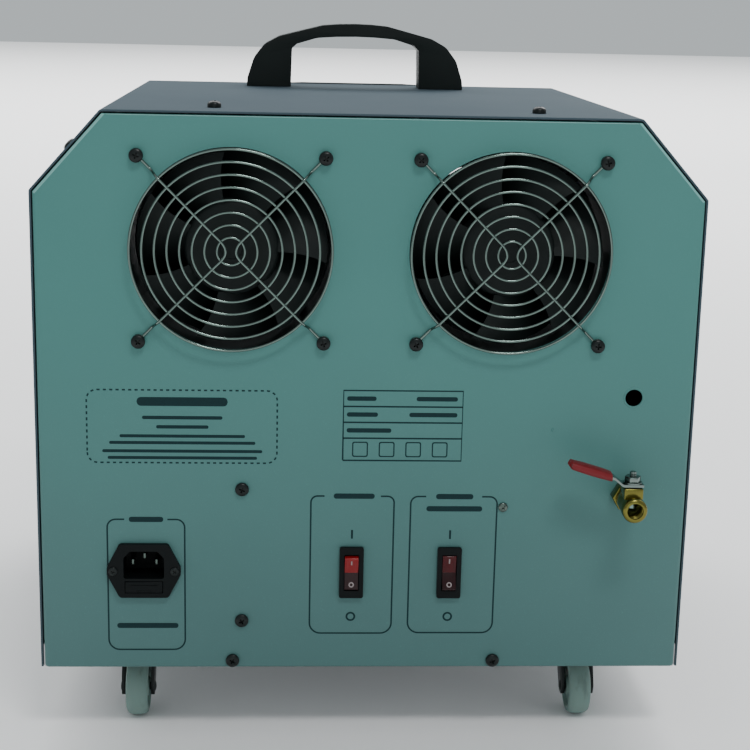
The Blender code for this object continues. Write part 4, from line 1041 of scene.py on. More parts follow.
# ---- Printed marks -------------------------------------------------------------------------
@dataclass
class PanelPrint:
    """Plain printed marks: boxes round the controls, on and off marks, ruled lines."""

    machine: Machine
    line: float = 0.00092
    raise_by: float = 0.00006
    dash: float = 0.0018

    def shapes(self) -> list[list[list[Pair]]]:
        """Every printed shape as outlines, in x and height above the bottom of the case."""
        made: list[list[list[Pair]]] = []
        made += self.titled_box(0.1510, 0.1060, 0.0930, 0.0118, 0.0125)
        made += self.titled_box(0.0324, -0.0164, 0.1078, 0.0222, 0.0165)
        made += self.titled_box(-0.0262, -0.0772, 0.1078, 0.0225, 0.0165)
        made += self.switch_marks(0.008)
        made += self.switch_marks(-0.050)
        made += self.bars(0.1284, 0.0930, ((0.0000, 0.0200, 0.0032),))
        made += self.bars(0.0071, 0.1078, ((0.0000, 0.0240, 0.0032),))
        made += self.bars(-0.0520, 0.1078, ((0.0000, 0.0220, 0.0032), (-0.0075, 0.0330, 0.0032)))
        made += self.bars(0.1280, 0.0270, ((0.0000, 0.0360, 0.0032),))
        made += self.dashed_box(0.1616, 0.0525, 0.1708, 0.1275)
        made += self.bars(0.1070, 0.1640, ((0.0, 0.052, 0.0052),))
        made += self.bars(0.1070, 0.1545, ((0.0, 0.046, 0.0020), (-0.0055, 0.030, 0.0020),
                                           (-0.0110, 0.072, 0.0018), (-0.0150, 0.084, 0.0018),
                                           (-0.0200, 0.092, 0.0018), (-0.0240, 0.086, 0.0018)))
        made += self.rating_table(0.0143, -0.0549, 0.1715, 0.1296)
        return made

    def path(self, points: Sequence[Pair]) -> list[list[Pair]]:
        """One printed line."""
        return [stroke(points, self.line)]

    def titled_box(self, left: float, right: float, top: float, low: float,
                   gap: float) -> list[list[list[Pair]]]:
        """A rounded frame that is open in the middle of its top edge, for a title."""
        middle = (left + right) / 2
        points = [(middle + gap, top), (left, top), (left, low), (right, low), (right, top),
                  (middle - gap, top)]
        return [self.path(rounded(points, 0.0065, 8, closed=False))]

    def bars(self, x: float, z: float, rows: Sequence[Triple]) -> list[list[list[Pair]]]:
        """Plain bars in place of lines of words: (drop, length, thickness) each."""
        return [[rounded(rectangle((x, z + drop), length, thick), thick * 0.45, 3)]
                for drop, length, thick in rows]

    def switch_marks(self, x: float) -> list[list[list[Pair]]]:
        """A stroke above a switch for on, and a ring below it for off."""
        on = [rectangle((x, 0.0843), 0.0012, 0.0054)]
        off = [circle((x, 0.0328), 0.0029, 32), circle((x, 0.0328), 0.0018, 32)]
        return [on, off]

    def dashed_box(self, left: float, right: float, top: float,
                   low: float) -> list[list[list[Pair]]]:
        """A rounded frame of short dashes."""
        ring = rounded([(left, low), (right, low), (right, top), (left, top)], 0.006, 6)
        ring.append(ring[0])
        made, run, drawn, here = [], 0.0, [], ring[0]
        for target in ring[1:]:
            while (Vector(target) - Vector(here)).length > 1e-6:
                span = (Vector(target) - Vector(here)).length
                left_over = self.dash - run % self.dash
                step = min(span, left_over)
                ahead = tuple(Vector(here).lerp(Vector(target), step / span))
                if int(run / self.dash + 1e-6) % 2 == 0:
                    drawn = drawn or [here]
                    drawn.append(ahead)
                elif drawn:
                    made.append(self.path(drawn))
                    drawn = []
                run += step
                if step < 1e-7:
                    run += 1e-7
                here = ahead
        return made

    def rating_table(self, left: float, right: float, top: float,
                     low: float) -> list[list[list[Pair]]]:
        """A ruled table with plain bars and four small empty squares."""
        frame = [(left, low), (right, low), (right, top), (left, top), (left, low)]
        made = [self.path(frame)]
        for row in (0.0095, 0.0190, 0.0285):
            made.append(self.path([(left, top - row), (right, top - row)]))
        for drop, first, second in ((0.0048, 0.017, 0.024), (0.0143, 0.018, 0.028),
                                    (0.0238, 0.026, 0.0)):
            made += self.bars(left - 0.002 - first / 2, top - drop, ((0.0, first, 0.0026),))
            if second:
                made += self.bars(right + 0.003 + second / 2, top - drop,
                                  ((0.0, second, 0.0026),))
        for index in range(4):
            centre = (left - 0.010 - 0.0155 * index, (top - 0.0285 + low) / 2)
            square = rounded(rectangle(centre, 0.0092, 0.0092), 0.0012, 3)
            hole = rounded(rectangle(centre, 0.0078, 0.0078), 0.0008, 3)
            made.append([square, hole])
        return made

    def build(self) -> None:
        """All the marks as one thin layer of ink."""
        y = self.machine.rear
        base = self.machine.box("base_tray")[0].z
        pieces = []
        for outlines in self.shapes():
            moved = [[(x, z + base) for x, z in outline] for outline in outlines]
            pieces.append(plate("mark", moved, y + 0.00001, y + self.raise_by))
        self.machine.show(gather("panel_print", pieces), Finish.INK, "machine")


# ---- Fans ----------------------------------------------------------------------------------
@dataclass
class FanUnit:
    """One axial fan: housing, impeller and finger guard."""

    machine: Machine
    side: Side
    rings: int = 8
    first_ring: float = 0.0078
    ring_step: float = 0.0070
    wire_radius: float = 0.00078
    screw_pitch: float = 0.105
    eyelet: float = 0.0030
    blades: int = 7
    hub: float = 0.0270
    tip: float = 0.0545
    root_chord: float = 0.0375
    chord_gain: float = 0.0225
    root_pitch: float = 44.0
    pitch_fall: float = 19.0
    arch: float = 0.0022
    half_thick: float = 0.0006
    lean: float = 0.10

    @property
    def centre(self) -> Vector:
        """The fan's middle."""
        return self.machine.middle("impeller_" + self.side.tag)

    def build_guard(self) -> None:
        """Concentric chromed rings under two bent wires that end in flattened eyelets."""
        m, c, r = self.machine, self.centre, self.wire_radius
        low, high = m.box("finger_guard_" + self.side.tag)
        over = high.y - r
        under = over - 1.8 * r
        seat = low.y + r
        pieces = []
        for index in range(self.rings):
            ring = [(c.x + u, under, c.z + v)
                    for u, v in circle((0, 0), self.first_ring + self.ring_step * index,
                                       40 + 10 * index)]
            pieces.append(wire("ring", ring, r, closed=True))
        half, eye = self.screw_pitch / 2, self.eyelet
        edge = self.first_ring + self.ring_step * (self.rings - 1)
        outer, inner = (edge + 0.0055) * math.sqrt(0.5), (edge + 0.0012) * math.sqrt(0.5)
        start = half - eye * math.sqrt(0.5)
        for way in (1, -1):
            arm = [(start, seat, start), ((start + outer) / 2, seat, (start + outer) / 2),
                   (outer, seat, outer), (inner, over, inner), (inner - 0.004, over, inner - 0.004),
                   (0.0100, over, 0.0098), (0.0040, over, 0.0040)]
            route = [(c.x + way * u, v, c.z + w) for u, v, w in arm]
            route += [(c.x + way * 0.0026, over, c.z)]
            route += [(c.x + way * u, v, c.z - w) for u, v, w in reversed(arm)]
            pieces.append(wire("hairpin", route, r, smooth=2))
            for up in (1, -1):
                loop = [(c.x + way * half + u, seat, c.z + up * half + v)
                        for u, v in circle((0, 0), eye, 36)]
                pieces.append(wire("eyelet", loop, r, closed=True))
        m.show(gather("guard_wires_" + self.side.tag, pieces), Finish.CHROME, "machine",
               "finger_guard_" + self.side.tag)

    def blade(self, turn: float) -> bpy.types.Object:
        """One cambered blade, wider and flatter towards its tip."""
        shape = bmesh.new()
        across, along = 9, 8
        layers = []
        for face in (1, -1):
            grid = []
            for i in range(along):
                share = i / (along - 1)
                radius = self.hub - 0.001 + (self.tip - self.hub + 0.001) * share
                pitch = math.radians(self.root_pitch - self.pitch_fall * share)
                chord = self.root_chord + self.chord_gain * share
                row = []
                for j in range(across):
                    s = j / (across - 1) - 0.5
                    camber = self.arch * (1 - 4 * s * s)
                    lift = camber + face * self.half_thick * (1 - (2 * s) ** 6)
                    sweep = self.lean * share * share
                    tangent = s * chord * math.cos(pitch) - lift * math.sin(pitch)
                    rise = s * chord * math.sin(pitch) + lift * math.cos(pitch)
                    angle = turn + sweep + tangent / radius
                    row.append(shape.verts.new((radius * math.cos(angle), rise,
                                                radius * math.sin(angle))))
                grid.append(row)
            layers.append(grid)
        top, under = layers
        for grid in layers:
            for a, b in zip(grid, grid[1:]):
                for j in range(across - 1):
                    shape.faces.new((a[j], a[j + 1], b[j + 1], b[j]))
        for i in range(along - 1):
            for j in (0, across - 1):
                shape.faces.new((top[i][j], top[i + 1][j], under[i + 1][j], under[i][j]))
        for i in (0, along - 1):
            for j in range(across - 1):
                shape.faces.new((top[i][j], top[i][j + 1], under[i][j + 1], under[i][j]))
        made = from_bmesh("blade", shape, 40.0)
        made.data.transform(Matrix.Translation(self.centre))
        return made

    def build_impeller(self) -> None:
        """Hub and blades, turning on the fan's axis."""
        m, c = self.machine, self.centre
        low, high = m.box("impeller_" + self.side.tag)
        half = (high.y - low.y) / 2
        r = self.hub
        hub = lathe("hub", [(0.0, half - 0.0008), (0.006, half - 0.0008), (0.0065, half - 0.0002),
                            (r - 0.0050, half), (r - 0.0018, half - 0.0006),
                            (r - 0.0004, half - 0.0020), (r, half - 0.0045), (r, 0.0010 - half),
                            (r - 0.0010, -half), (0.0, -half)], c, (0, 1, 0), 72)
        pieces = [hub] + [self.blade(math.tau * i / self.blades) for i in range(self.blades)]
        m.show(gather("impeller_blades_" + self.side.tag, pieces), Finish.BLACK,
               "fan_rotor_" + self.side.tag, "impeller_" + self.side.tag)

    def build(self) -> None:
        """The whole fan."""
        self.build_guard()
        self.build_impeller()
        self.machine.dress("fan_frame_" + self.side.tag, Finish.BLACK)


# ---- Bubble wheels -------------------------------------------------------------------------
@dataclass
class BubbleDrive:
    """One bubble wheel with its shaft and gear motor."""

    machine: Machine
    side: Side
    wands: int = 8
    reach: float = 0.058
    wand_radius: float = 0.0125
    ribs: int = 24

    def wand(self, turn: Matrix, centre: Vector) -> list[bpy.types.Object]:
        """One ring with fine ribs that hold the film, on a tapered spoke."""
        ring = lathe("wand", self.ring_profile(), (0, 0, 0), (0, 1, 0), 40, closed=True)
        ring.data.transform(Matrix.Translation((self.reach, 0, 0)))
        pieces = [ring]
        for u, v in circle((self.reach, 0), self.wand_radius - 0.0013, self.ribs):
            pieces.append(block("rib", (u - 0.0003, -0.0015, v - 0.0003),
                                (u + 0.0003, 0.0015, v + 0.0003)))
        start, end = 0.0100, self.reach - self.wand_radius - 0.0008
        spoke = plate("spoke", [[(start, -0.0026), (end, -0.0017), (end, 0.0017),
                                 (start, 0.0026)]], -0.0011, 0.0011, Along.Y, 0.0004)
        web = plate("web", [[(start, -0.0005), (end - 0.004, -0.0005), (end - 0.004, 0.0005),
                             (start, 0.0005)]], -0.0040, 0.0040, Along.Y, 0.0003)
        for piece in pieces + [spoke, web]:
            piece.data.transform(Matrix.Translation(centre) @ turn)
        return pieces + [spoke, web]

    def ring_profile(self) -> list[Pair]:
        """The wand ring's rounded section."""
        r = self.wand_radius
        return [(r + u, v) for u, v in circle((0, 0), 0.00145, 10)]

    def build(self) -> None:
        """Wheel, shaft and motor."""
        m, tag = self.machine, self.side.tag
        body = "bubble_drive_" + tag
        centre = m.middle("bubble_wheel_" + tag)
        low, high = m.box("bubble_wheel_" + tag)
        half = (high.y - low.y) / 2
        hub = lathe("hub", [(0.0034, half), (0.0070, half), (0.0076, half - 0.0006),
                            (0.0080, 0.0045), (0.0108, 0.0038), (0.0112, 0.0030),
                            (0.0112, -0.0030), (0.0108, -0.0038), (0.0080, -0.0045),
                            (0.0076, 0.0006 - half), (0.0070, -half), (0.0034, -half)],
                    centre, (0, 1, 0), 56, closed=True)
        pieces = [hub]
        for index in range(self.wands):
            pieces += self.wand(Matrix.Rotation(math.tau * index / self.wands, 4, "Y"), centre)
        m.show(gather("wand_wheel_" + tag, pieces), Finish.WAND, body, "bubble_wheel_" + tag)
        m.dress("wheel_shaft_" + tag, Finish.STEEL)
        m.dress("gear_motor_" + tag, Finish.STEEL)
        nose = m.box("wheel_shaft_" + tag)[0].y
        nut = rod("nut", (centre.x, low.y - 0.0026, centre.z), (0, 1, 0), 0.0024, 0.0052, 6)
        cut = rod("bore", (centre.x, low.y - 0.004, centre.z), (0, 1, 0), 0.006, 0.0031, 32)
        m.show(soften(carve(nut, cut), 0.0002, 2), Finish.STEEL, body)
        cap = lathe("shaft_cap", [(0.0, -0.0006), (0.0024, -0.0005), (0.0030, 0.0),
                                  (0.0030, 0.0002), (0.0, 0.0002)],
                    (centre.x, nose, centre.z), (0, 1, 0), 24)
        m.show(cap, Finish.STEEL, body)


# ---- Tank and drain ------------------------------------------------------------------------
@dataclass
class FluidTank:
    """The open fluid tank with a rolled rim, on four legs, and its drain hose."""

    machine: Machine
    wall: float = 0.0020
    corner: float = 0.010
    depth: float = 0.044
    leg_inset: float = 0.016

    def build(self) -> None:
        """Tank, legs, spigot and hose."""
        m = self.machine
        low, high = m.box("fluid_tank")
        hose_low, _ = m.box("drain_hose")
        rear = hose_low.y - 0.0003
        bottom = high.z - self.depth
        span = [(low.x, low.y), (high.x, low.y), (high.x, rear), (low.x, rear)]
        tank = plate("tank_shell", [rounded(span, self.corner, 8)], bottom, high.z, Along.Z,
                     0.003, 3, 60.0)
        t = self.wall
        inside = [(low.x + t, low.y + t), (high.x - t, low.y + t), (high.x - t, rear - t),
                  (low.x + t, rear - t)]
        hollow = plate("tank_hollow", [rounded(inside, self.corner - t, 8)], bottom + t,
                       high.z + CLEAR, Along.Z, 0.003, 3, 60.0)
        carve(tank, hollow)
        soften(tank, 0.0005, 2, 60.0)
        drain = m.middle("drain_hose")
        legs = [tank]
        for x in (low.x + self.leg_inset, high.x - self.leg_inset):
            for y in (low.y + self.leg_inset, rear - self.leg_inset):
                legs.append(rod("leg", (x, y, low.z), (0, 0, 1), bottom - low.z + 0.001,
                                0.0070, 32, 0.0010))
        legs.append(rod("spigot", (drain.x, rear - 0.001, drain.z), (0, 1, 0), 0.0148,
                        0.0042, 32, 0.0005))
        m.show(gather("fluid_bath", legs), Finish.MILKY, "machine", "fluid_tank")
        m.dress("drain_hose", Finish.HOSE)
        clips = []
        for y in (rear + 0.006, m.box("drain_hose")[1].y - 0.006):
            clips.append(lathe("clip", [(0.0061, -0.0025), (0.0066, -0.0025), (0.0066, 0.0025),
                                        (0.0061, 0.0025)], (drain.x, y, drain.z), (0, 1, 0), 40,
                               closed=True))
        m.show(gather("hose_clips", clips), Finish.STEEL, "machine")


@dataclass
class DrainValve:
    """The small brass ball valve with its cranked lever and vinyl sleeve."""

    machine: Machine
    barrel: float = 0.0072
    bore: float = 0.0032
    mouth: float = 0.0047
    lever_half: float = 0.0046
    arm_slope: float = math.radians(16.5)
    crank_run: float = 0.0110
    crank_rise: float = 0.0042

    def build_body(self) -> None:
        """Hexagon end, barrel, neck block and threaded mouth."""
        m, r = self.machine, self.barrel
        high = m.box("valve_body")[1]
        nut = m.middle("valve_lock_nut")
        rear = m.rear
        axis = Vector((nut.x, rear, nut.z))
        reach = high.y - rear
        profile = [(self.mouth, reach), (r - 0.0014, reach), (r - 0.0004, reach - 0.0006),
                   (r, reach - 0.0014), (r, reach - 0.0070), (r - 0.0010, reach - 0.0080),
                   (r - 0.0012, reach - 0.0140), (r - 0.0006, reach - 0.0165),
                   (r - 0.0008, 0.0088), (0.0062, 0.0085), (0.0062, -0.0012)]
        for turn in range(9):
            y = -0.0020 - 0.0015 * turn
            profile += [(0.0061, y), (0.0055, y - 0.00075)]
        profile += [(0.0042, -0.0165), (0.0042, -0.0318), (self.bore, -0.0320),
                    (self.bore, reach - 0.0075), (self.bore + 0.0008, reach - 0.0068)]
        for turn in range(5):
            y = reach - 0.0062 + 0.0011 * turn
            profile += [(self.mouth - 0.0005, y), (self.mouth, y + 0.0005)]
        body = lathe("barrel", profile, axis, (0, 1, 0), 56, closed=True)
        collar = rod("hexagon", (axis.x, rear + 0.0003, axis.z), (0, 1, 0), 0.0085, r * 1.14, 6)
        soften(collar, 0.0006, 2, 50.0)
        carve(collar, rod("collar_bore", (axis.x, rear - CLEAR, axis.z), (0, 1, 0), 0.03, 0.0060,
                          40))
        stem = m.middle("valve_stem")
        half = 0.0055
        neck = block("neck", (stem.x - half, stem.y - half, axis.z + r - 0.0024),
                     (stem.x + half, stem.y + half, high.z), 0.0007, 3)
        carve(neck, rod("neck_bore", (stem.x, stem.y, axis.z), (0, 0, 1), 0.03, 0.0026, 32))
        m.show(gather("brass_valve", [body, collar, neck]), Finish.BRASS, "machine",
               "valve_body")
        m.dress("valve_lock_nut", Finish.BRASS)

    def build_stem(self) -> None:
        """Ball, stem, washer and hexagon nut."""
        m = self.machine
        m.dress("valve_ball", Finish.CHROME)
        low, high = m.box("valve_stem")
        ball = m.middle("valve_ball")
        axis = (ball.x, ball.y, 0.0)
        nut_low = m.box("valve_lever")[0].z + 0.0019
        profile = [(0.0, high.z), (0.0016, high.z), (0.0020, high.z - 0.0004)]
        for turn in range(5):
            z = high.z - 0.0007 - 0.0005 * turn
            profile += [(0.0020, z), (0.00175, z - 0.00025)]
        profile += [(0.0020, nut_low), (0.0022, nut_low - 0.0004), (0.0022, low.z), (0.0, low.z)]
        stem = lathe("stem", profile, axis, (0, 0, 1), 32)
        nut = rod("nut", (ball.x, ball.y, nut_low + 0.0005), (0, 0, 1), 0.0034, 0.0048, 6)
        soften(nut, 0.0004, 2, 50.0)
        washer = lathe("washer", [(0.0021, 0.0), (0.0054, 0.0), (0.0054, 0.0005),
                                  (0.0021, 0.0005)], (ball.x, ball.y, nut_low), (0, 0, 1), 36,
                       closed=True)
        m.show(gather("stem_and_nut", [stem, nut, washer]), Finish.STEEL, "valve_handle",
               "valve_stem")

    def build_lever(self) -> None:
        """The cranked lever, and the sleeve dipped over its arm."""
        m = self.machine
        ball = m.middle("valve_ball")
        low, high = m.box("valve_lever")
        thick, rise = 0.0016, math.tan(self.arm_slope)
        tip = high.x - ball.x
        under = [(low.x - ball.x, 0.0), (0.0060, 0.0), (self.crank_run, self.crank_rise),
                 (tip, self.crank_rise + (tip - self.crank_run) * rise)]
        under = rounded(under, 0.0025, 5, closed=False)
        over = [(u, v + thick) for u, v in under]
        outline = [(ball.x + u, low.z + v) for u, v in under + over[::-1]]
        lever = plate("lever", [outline], ball.y - self.lever_half, ball.y + self.lever_half,
                      Along.Y, 0.0004, 3, 50.0)
        carve(lever, rod("eye", (ball.x, ball.y, low.z - CLEAR), (0, 0, 1), 0.02, 0.0025, 32))
        m.show(lever, Finish.STEEL, "valve_handle", "valve_lever")
        self.build_sleeve(ball, low.z, rise)

    def build_sleeve(self, ball: Vector, base: float, rise: float) -> None:
        """A flattened vinyl sleeve that swells in the middle and closes round at its tip."""
        low, high = self.machine.box("lever_sleeve")
        start, end = low.x - ball.x, high.x - ball.x
        shape = bmesh.new()
        rings = []
        stations, sides = 14, 20
        for index in range(stations + 1):
            share = index / stations
            u = start + (end - start) * share
            close = math.sqrt(max(0.0, 1 - ((share - 0.90) / 0.10) ** 2)) if share > 0.90 else 1.0
            swell = 0.90 + 0.10 * math.sin(math.pi * min(1.0, share * 1.1))
            half_y = (self.lever_half + 0.0014) * swell * max(0.25, close)
            half_z = 0.0027 * swell * max(0.2, close)
            middle = base + self.crank_rise + (u - self.crank_run) * rise + 0.0008
            ring = []
            for k in range(sides):
                a = math.tau * k / sides
                y = math.copysign(abs(math.cos(a)) ** 0.6, math.cos(a)) * half_y
                z = math.copysign(abs(math.sin(a)) ** 0.6, math.sin(a)) * half_z
                ring.append(shape.verts.new((ball.x + u, ball.y + y, middle + z)))
            rings.append(ring)
        for first, last in zip(rings, rings[1:]):
            for k in range(sides):
                ahead = (k + 1) % sides
                shape.faces.new((first[k], first[ahead], last[ahead], last[k]))
        shape.faces.new(rings[0])
        shape.faces.new(rings[-1])
        sleeve = from_bmesh("vinyl_sleeve", shape, 50.0)
        self.machine.show(sleeve, Finish.SLEEVE, "valve_handle", "lever_sleeve")

    def build(self) -> None:
        """The whole valve."""
        self.build_body()
        self.build_stem()
        self.build_lever()


# ---- Controls ------------------------------------------------------------------------------
@dataclass
class RockerSwitch:
    """A narrow rocker switch: bezel, body and a red rocker with its two marks."""

    machine: Machine
    name: str
    tilt: float
    window: Pair = (0.0088, 0.0224)
    # Whether the upper half keeps the full red; otherwise it gets the painted half-shade red.
    lit: bool = False
    mark_lift: float = 0.00282
    mark_reach: float = 0.0071

    def build(self) -> None:
        """Bezel with body, and the rocker in its tipped place."""
        m = self.machine
        node = "switch_housing_" + self.name
        low, high = m.box(node)
        centre = m.middle(node)
        face = m.rear + 0.0003
        outline = rounded(rectangle((centre.x, centre.z), high.x - low.x, high.z - low.z),
                          0.0012, 4)
        bezel = plate("bezel", [outline], face, high.y, Along.Y, 0.0006, 3, 50.0)
        body = block("body", (low.x + 0.0011, low.y, low.z + 0.0016),
                     (high.x - 0.0011, face + 0.001, high.z - 0.0016), 0.0005)
        carve(bezel, body, operation="UNION")
        half_x, half_z = self.window[0] / 2, self.window[1] / 2
        carve(bezel, block("window", (centre.x - half_x, face - 0.0085, centre.z - half_z),
                           (centre.x + half_x, face + CLEAR, centre.z + half_z), 0.0005, 2))
        terminals = [block("terminal", (centre.x - 0.0004, low.y - 0.006, centre.z + z - 0.0024),
                           (centre.x + 0.0004, low.y + 0.001, centre.z + z + 0.0024), 0.0002)
                     for z in (-0.007, 0.0, 0.007)]
        m.show(gather(f"switch_{self.name}_bezel", [bezel]), Finish.GLOSS_BLACK, "machine", node)
        m.show(gather(f"switch_{self.name}_terminals", terminals), Finish.BRASS, "machine")
        self.build_rocker(centre, face)

    def build_rocker(self, centre: Vector, face: float) -> None:
        """The rocker with its lens ends and printed marks, tipped to its rest place."""
        end = self.window[1] / 2 - 0.0007
        half = self.window[0] / 2 - 0.0004
        outer = [(0.0011, 0.0), (0.0022, 0.0050), (0.0036, end - 0.0006), (0.0030, end),
                 (-0.0022, end - 0.0002), (-0.0045, 0.0045)]
        outline = outer + [(y, -z) for y, z in reversed(outer[1:])]
        rocker = plate("rocker_key", [rounded(outline, 0.0008, 4)], centre.x - half,
                       centre.x + half, Along.X, 0.0005, 3, 50.0)
        marks = self.marks(centre)
        turn = Matrix.Rotation(self.tilt, 4, "X")
        where = Matrix.Translation((0, face, centre.z))
        # Painted shade: the upper half is full red or painted half shade, and the lower half is
        # always painted shade.
        lens = Finish.RED if self.lit else Finish.MID_RED
        for face_part in rocker.data.polygons:
            face_part.material_index = int(face_part.center.z < 0.0)
        for piece in (rocker, marks):
            piece.data.transform(where @ turn)
        body = f"rocker_{self.name}_body"
        self.machine.show(rocker, (lens, Finish.DARK_RED), body, "rocker_" + self.name)
        self.machine.show(marks, Finish.WHITE_INK, body)

    def marks(self, centre: Vector) -> bpy.types.Object:
        """The stroke and the ring printed on the rocker's two faces."""
        slope = math.atan2(0.0014, 0.0049)
        pieces = []
        for up, outlines in ((1, [rectangle((centre.x, 0.0), 0.0008, 0.0030)]),
                             (-1, [circle((centre.x, 0.0), 0.0016, 28),
                                   circle((centre.x, 0.0), 0.0009, 28)])):
            mark = plate("mark", outlines, 0.0, 0.00012)
            mark.data.transform(Matrix.Translation((0, self.mark_lift, up * self.mark_reach))
                                @ Matrix.Rotation(-up * slope, 4, "X"))
            pieces.append(mark)
        return gather(f"rocker_{self.name}_marks", pieces)


@dataclass
class PowerInlet:
    """The mains inlet with its pins and fuse drawer."""

    machine: Machine

    def build(self) -> None:
        """Flange, socket, pins, ear screws and drawer."""
        m = self.machine
        low, high = m.box("power_inlet")
        c = m.middle("power_inlet")
        face = m.rear + 0.0003
        half_w, half_h, flat, tip = (high.x - low.x) / 2, (high.z - low.z) / 2, 0.0142, 0.0022
        corners = [(flat, half_h), (-flat, half_h), (-half_w, tip), (-half_w, -tip),
                   (-flat, -half_h), (flat, -half_h), (half_w, -tip), (half_w, tip)]
        outline = rounded([(c.x + x, c.z + z) for x, z in corners], 0.0024, 5)
        inlet = plate("inlet_flange", [outline], face, high.y, Along.Y, 0.0009, 4, 50.0)
        body = block("body", (c.x - 0.0140, low.y, c.z - half_h + 0.002),
                     (c.x + 0.0140, face + 0.001, c.z + half_h - 0.002), 0.0006)
        carve(inlet, body, operation="UNION")
        socket = rounded(self.keyed(c, 0.0118, -0.0046, 0.0080, 0.0080, 0.0122), 0.0012, 4)
        carve(inlet, plate("socket", [socket], face - 0.0150, face + CLEAR),
              block("bay", (c.x - 0.0112, face - 0.0225, c.z - 0.0136),
                    (c.x + 0.0112, face + CLEAR, c.z - 0.0062), 0.0002))
        m.show(inlet, Finish.GLOSS_BLACK, "machine", "power_inlet")
        core = rounded(self.keyed(c, 0.0092, -0.0022, 0.0062, 0.0062, 0.0096), 0.0008, 3)
        shroud = plate("socket_core", [core], face - 0.0150, face - 0.0145)
        m.show(shroud, Finish.SHADOW, "machine")
        for node in ("pin_line", "pin_neutral", "pin_earth"):
            pin_low, pin_high = m.box(node)
            pin = block(node + "_blade", pin_low, pin_high, 0.0008, 4)
            m.show(pin, Finish.DULL_STEEL, "machine", node)
        self.build_drawer()
        for side in Side:
            Screw(0.0026, 0.0012, 0.0013, 0.0015, 0.0003).fit(
                m, "inlet_screw_" + side.tag, (c.x + side.value * 0.0180, high.y, c.z),
                (0, 1, 0), 0.3 + side.value, length=0.003)

    def keyed(self, centre: Vector, half: float, low: float, shoulder: float, cut: float,
              top: float) -> list[Pair]:
        """The socket's outline, its two upper corners cut off.

        Args:
            centre: the inlet's middle.
            half: half its width.
            low: its lower edge.
            shoulder: where the cut corners begin.
            cut: half the width of its top edge.
            top: its top edge.

        Returns:
            The six corners.
        """
        corners = [(-half, low), (half, low), (half, shoulder), (cut, top), (-cut, top),
                   (-half, shoulder)]
        return [(centre.x + u, centre.z + v) for u, v in corners]

    def build_drawer(self) -> None:
        """The fuse drawer with its finger notch, and the fuse in its tray."""
        m = self.machine
        low, high = m.box("fuse_drawer")
        c = m.middle("fuse_drawer")
        drawer = block("drawer", low, high, 0.0005, 3)
        tray = block("tray", (low.x + 0.0012, low.y + 0.0012, low.z + 0.0015),
                     (high.x - 0.0012, high.y - 0.0052, high.z + CLEAR), 0.0003)
        notch = rod("notch", (c.x - 0.004, high.y + 0.0005, low.z + 0.0006), (1, 0, 0), 0.008,
                    0.0011, 20)
        groove = block("groove", (low.x + 0.0030, high.y - 0.0003, high.z - 0.0022),
                       (high.x - 0.0030, high.y + 0.001, high.z - 0.0017))
        carve(drawer, tray, notch, groove)
        m.show(drawer, Finish.GLOSS_BLACK, "fuse_drawer_body", "fuse_drawer")
        fuse = lathe("fuse", [(0.0, 0.0), (0.0016, 0.0), (0.0018, 0.0002), (0.0018, 0.0040),
                              (0.0016, 0.0042), (0.0016, 0.0128), (0.0018, 0.0130),
                              (0.0018, 0.0168), (0.0016, 0.0170), (0.0, 0.0170)],
                     (c.x - 0.0085, c.y - 0.002, low.z + 0.0035), (1, 0, 0), 24)
        m.show(fuse, Finish.STEEL, "fuse_drawer_body")


# ---- Handle --------------------------------------------------------------------------------
@dataclass
class CarryHandle:
    """The moulded carry handle with wide legs and a low arched bar."""

    machine: Machine
    grip: float = 0.092
    bar: float = 0.0088

    def outline(self) -> list[Pair]:
        """The handle's side view, from its right foot round over the bar and back under it."""
        low, high = self.machine.box("handle")
        half, grip, rise = high.x, self.grip / 2, high.z - low.z
        right = [(half, 0.0), (half - 0.0004, 0.0060), (half - 0.0050, 0.0200),
                 (half - 0.0125, 0.0295), (half - 0.0230, 0.0352), (half - 0.0385, 0.0392)]
        right += [(half * share, rise - 0.0144 * share ** 2) for share in (0.30, 0.15)]
        outer = right + [(0.0, rise)] + [(-x, z) for x, z in reversed(right)]
        under = [(grip, 0.0), (grip - 0.0006, 0.0268), (grip - 0.0040, 0.0300)]
        under += [(grip * share, rise - self.bar - 0.0036 * share ** 2) for share in (0.6, 0.3)]
        inner = under + [(0.0, rise - self.bar)] + [(-x, z) for x, z in reversed(under)]
        over_bar = [0.0] + [0.012] * (len(outer) - 2) + [0.0]
        in_grip = [0.0, 0.0012, 0.0020] + [0.02] * (len(inner) - 6) + [0.0020, 0.0012, 0.0]
        shaped = rounded(outer + inner[::-1], over_bar + in_grip, 4)
        return [(x, low.z + z) for x, z in shaped]

    def build(self) -> None:
        """The handle, its feet and its two bolts."""
        m = self.machine
        low, high = m.box("handle")
        handle = plate("carry_handle", [self.outline()], low.y, high.y, Along.Y, 0.0030, 4, 60.0)
        m.show(handle, Finish.BLACK, "machine", "handle")
        middle = (low.y + high.y) / 2
        bolts = []
        for side in Side:
            x = side.value * (high.x + self.grip / 2) / 2
            bolts.append(rod("bolt", (x, middle, low.z - 0.0045), (0, 0, 1), 0.0030, 0.0045, 6))
        m.show(gather("handle_bolts", bolts), Finish.STEEL, "machine")


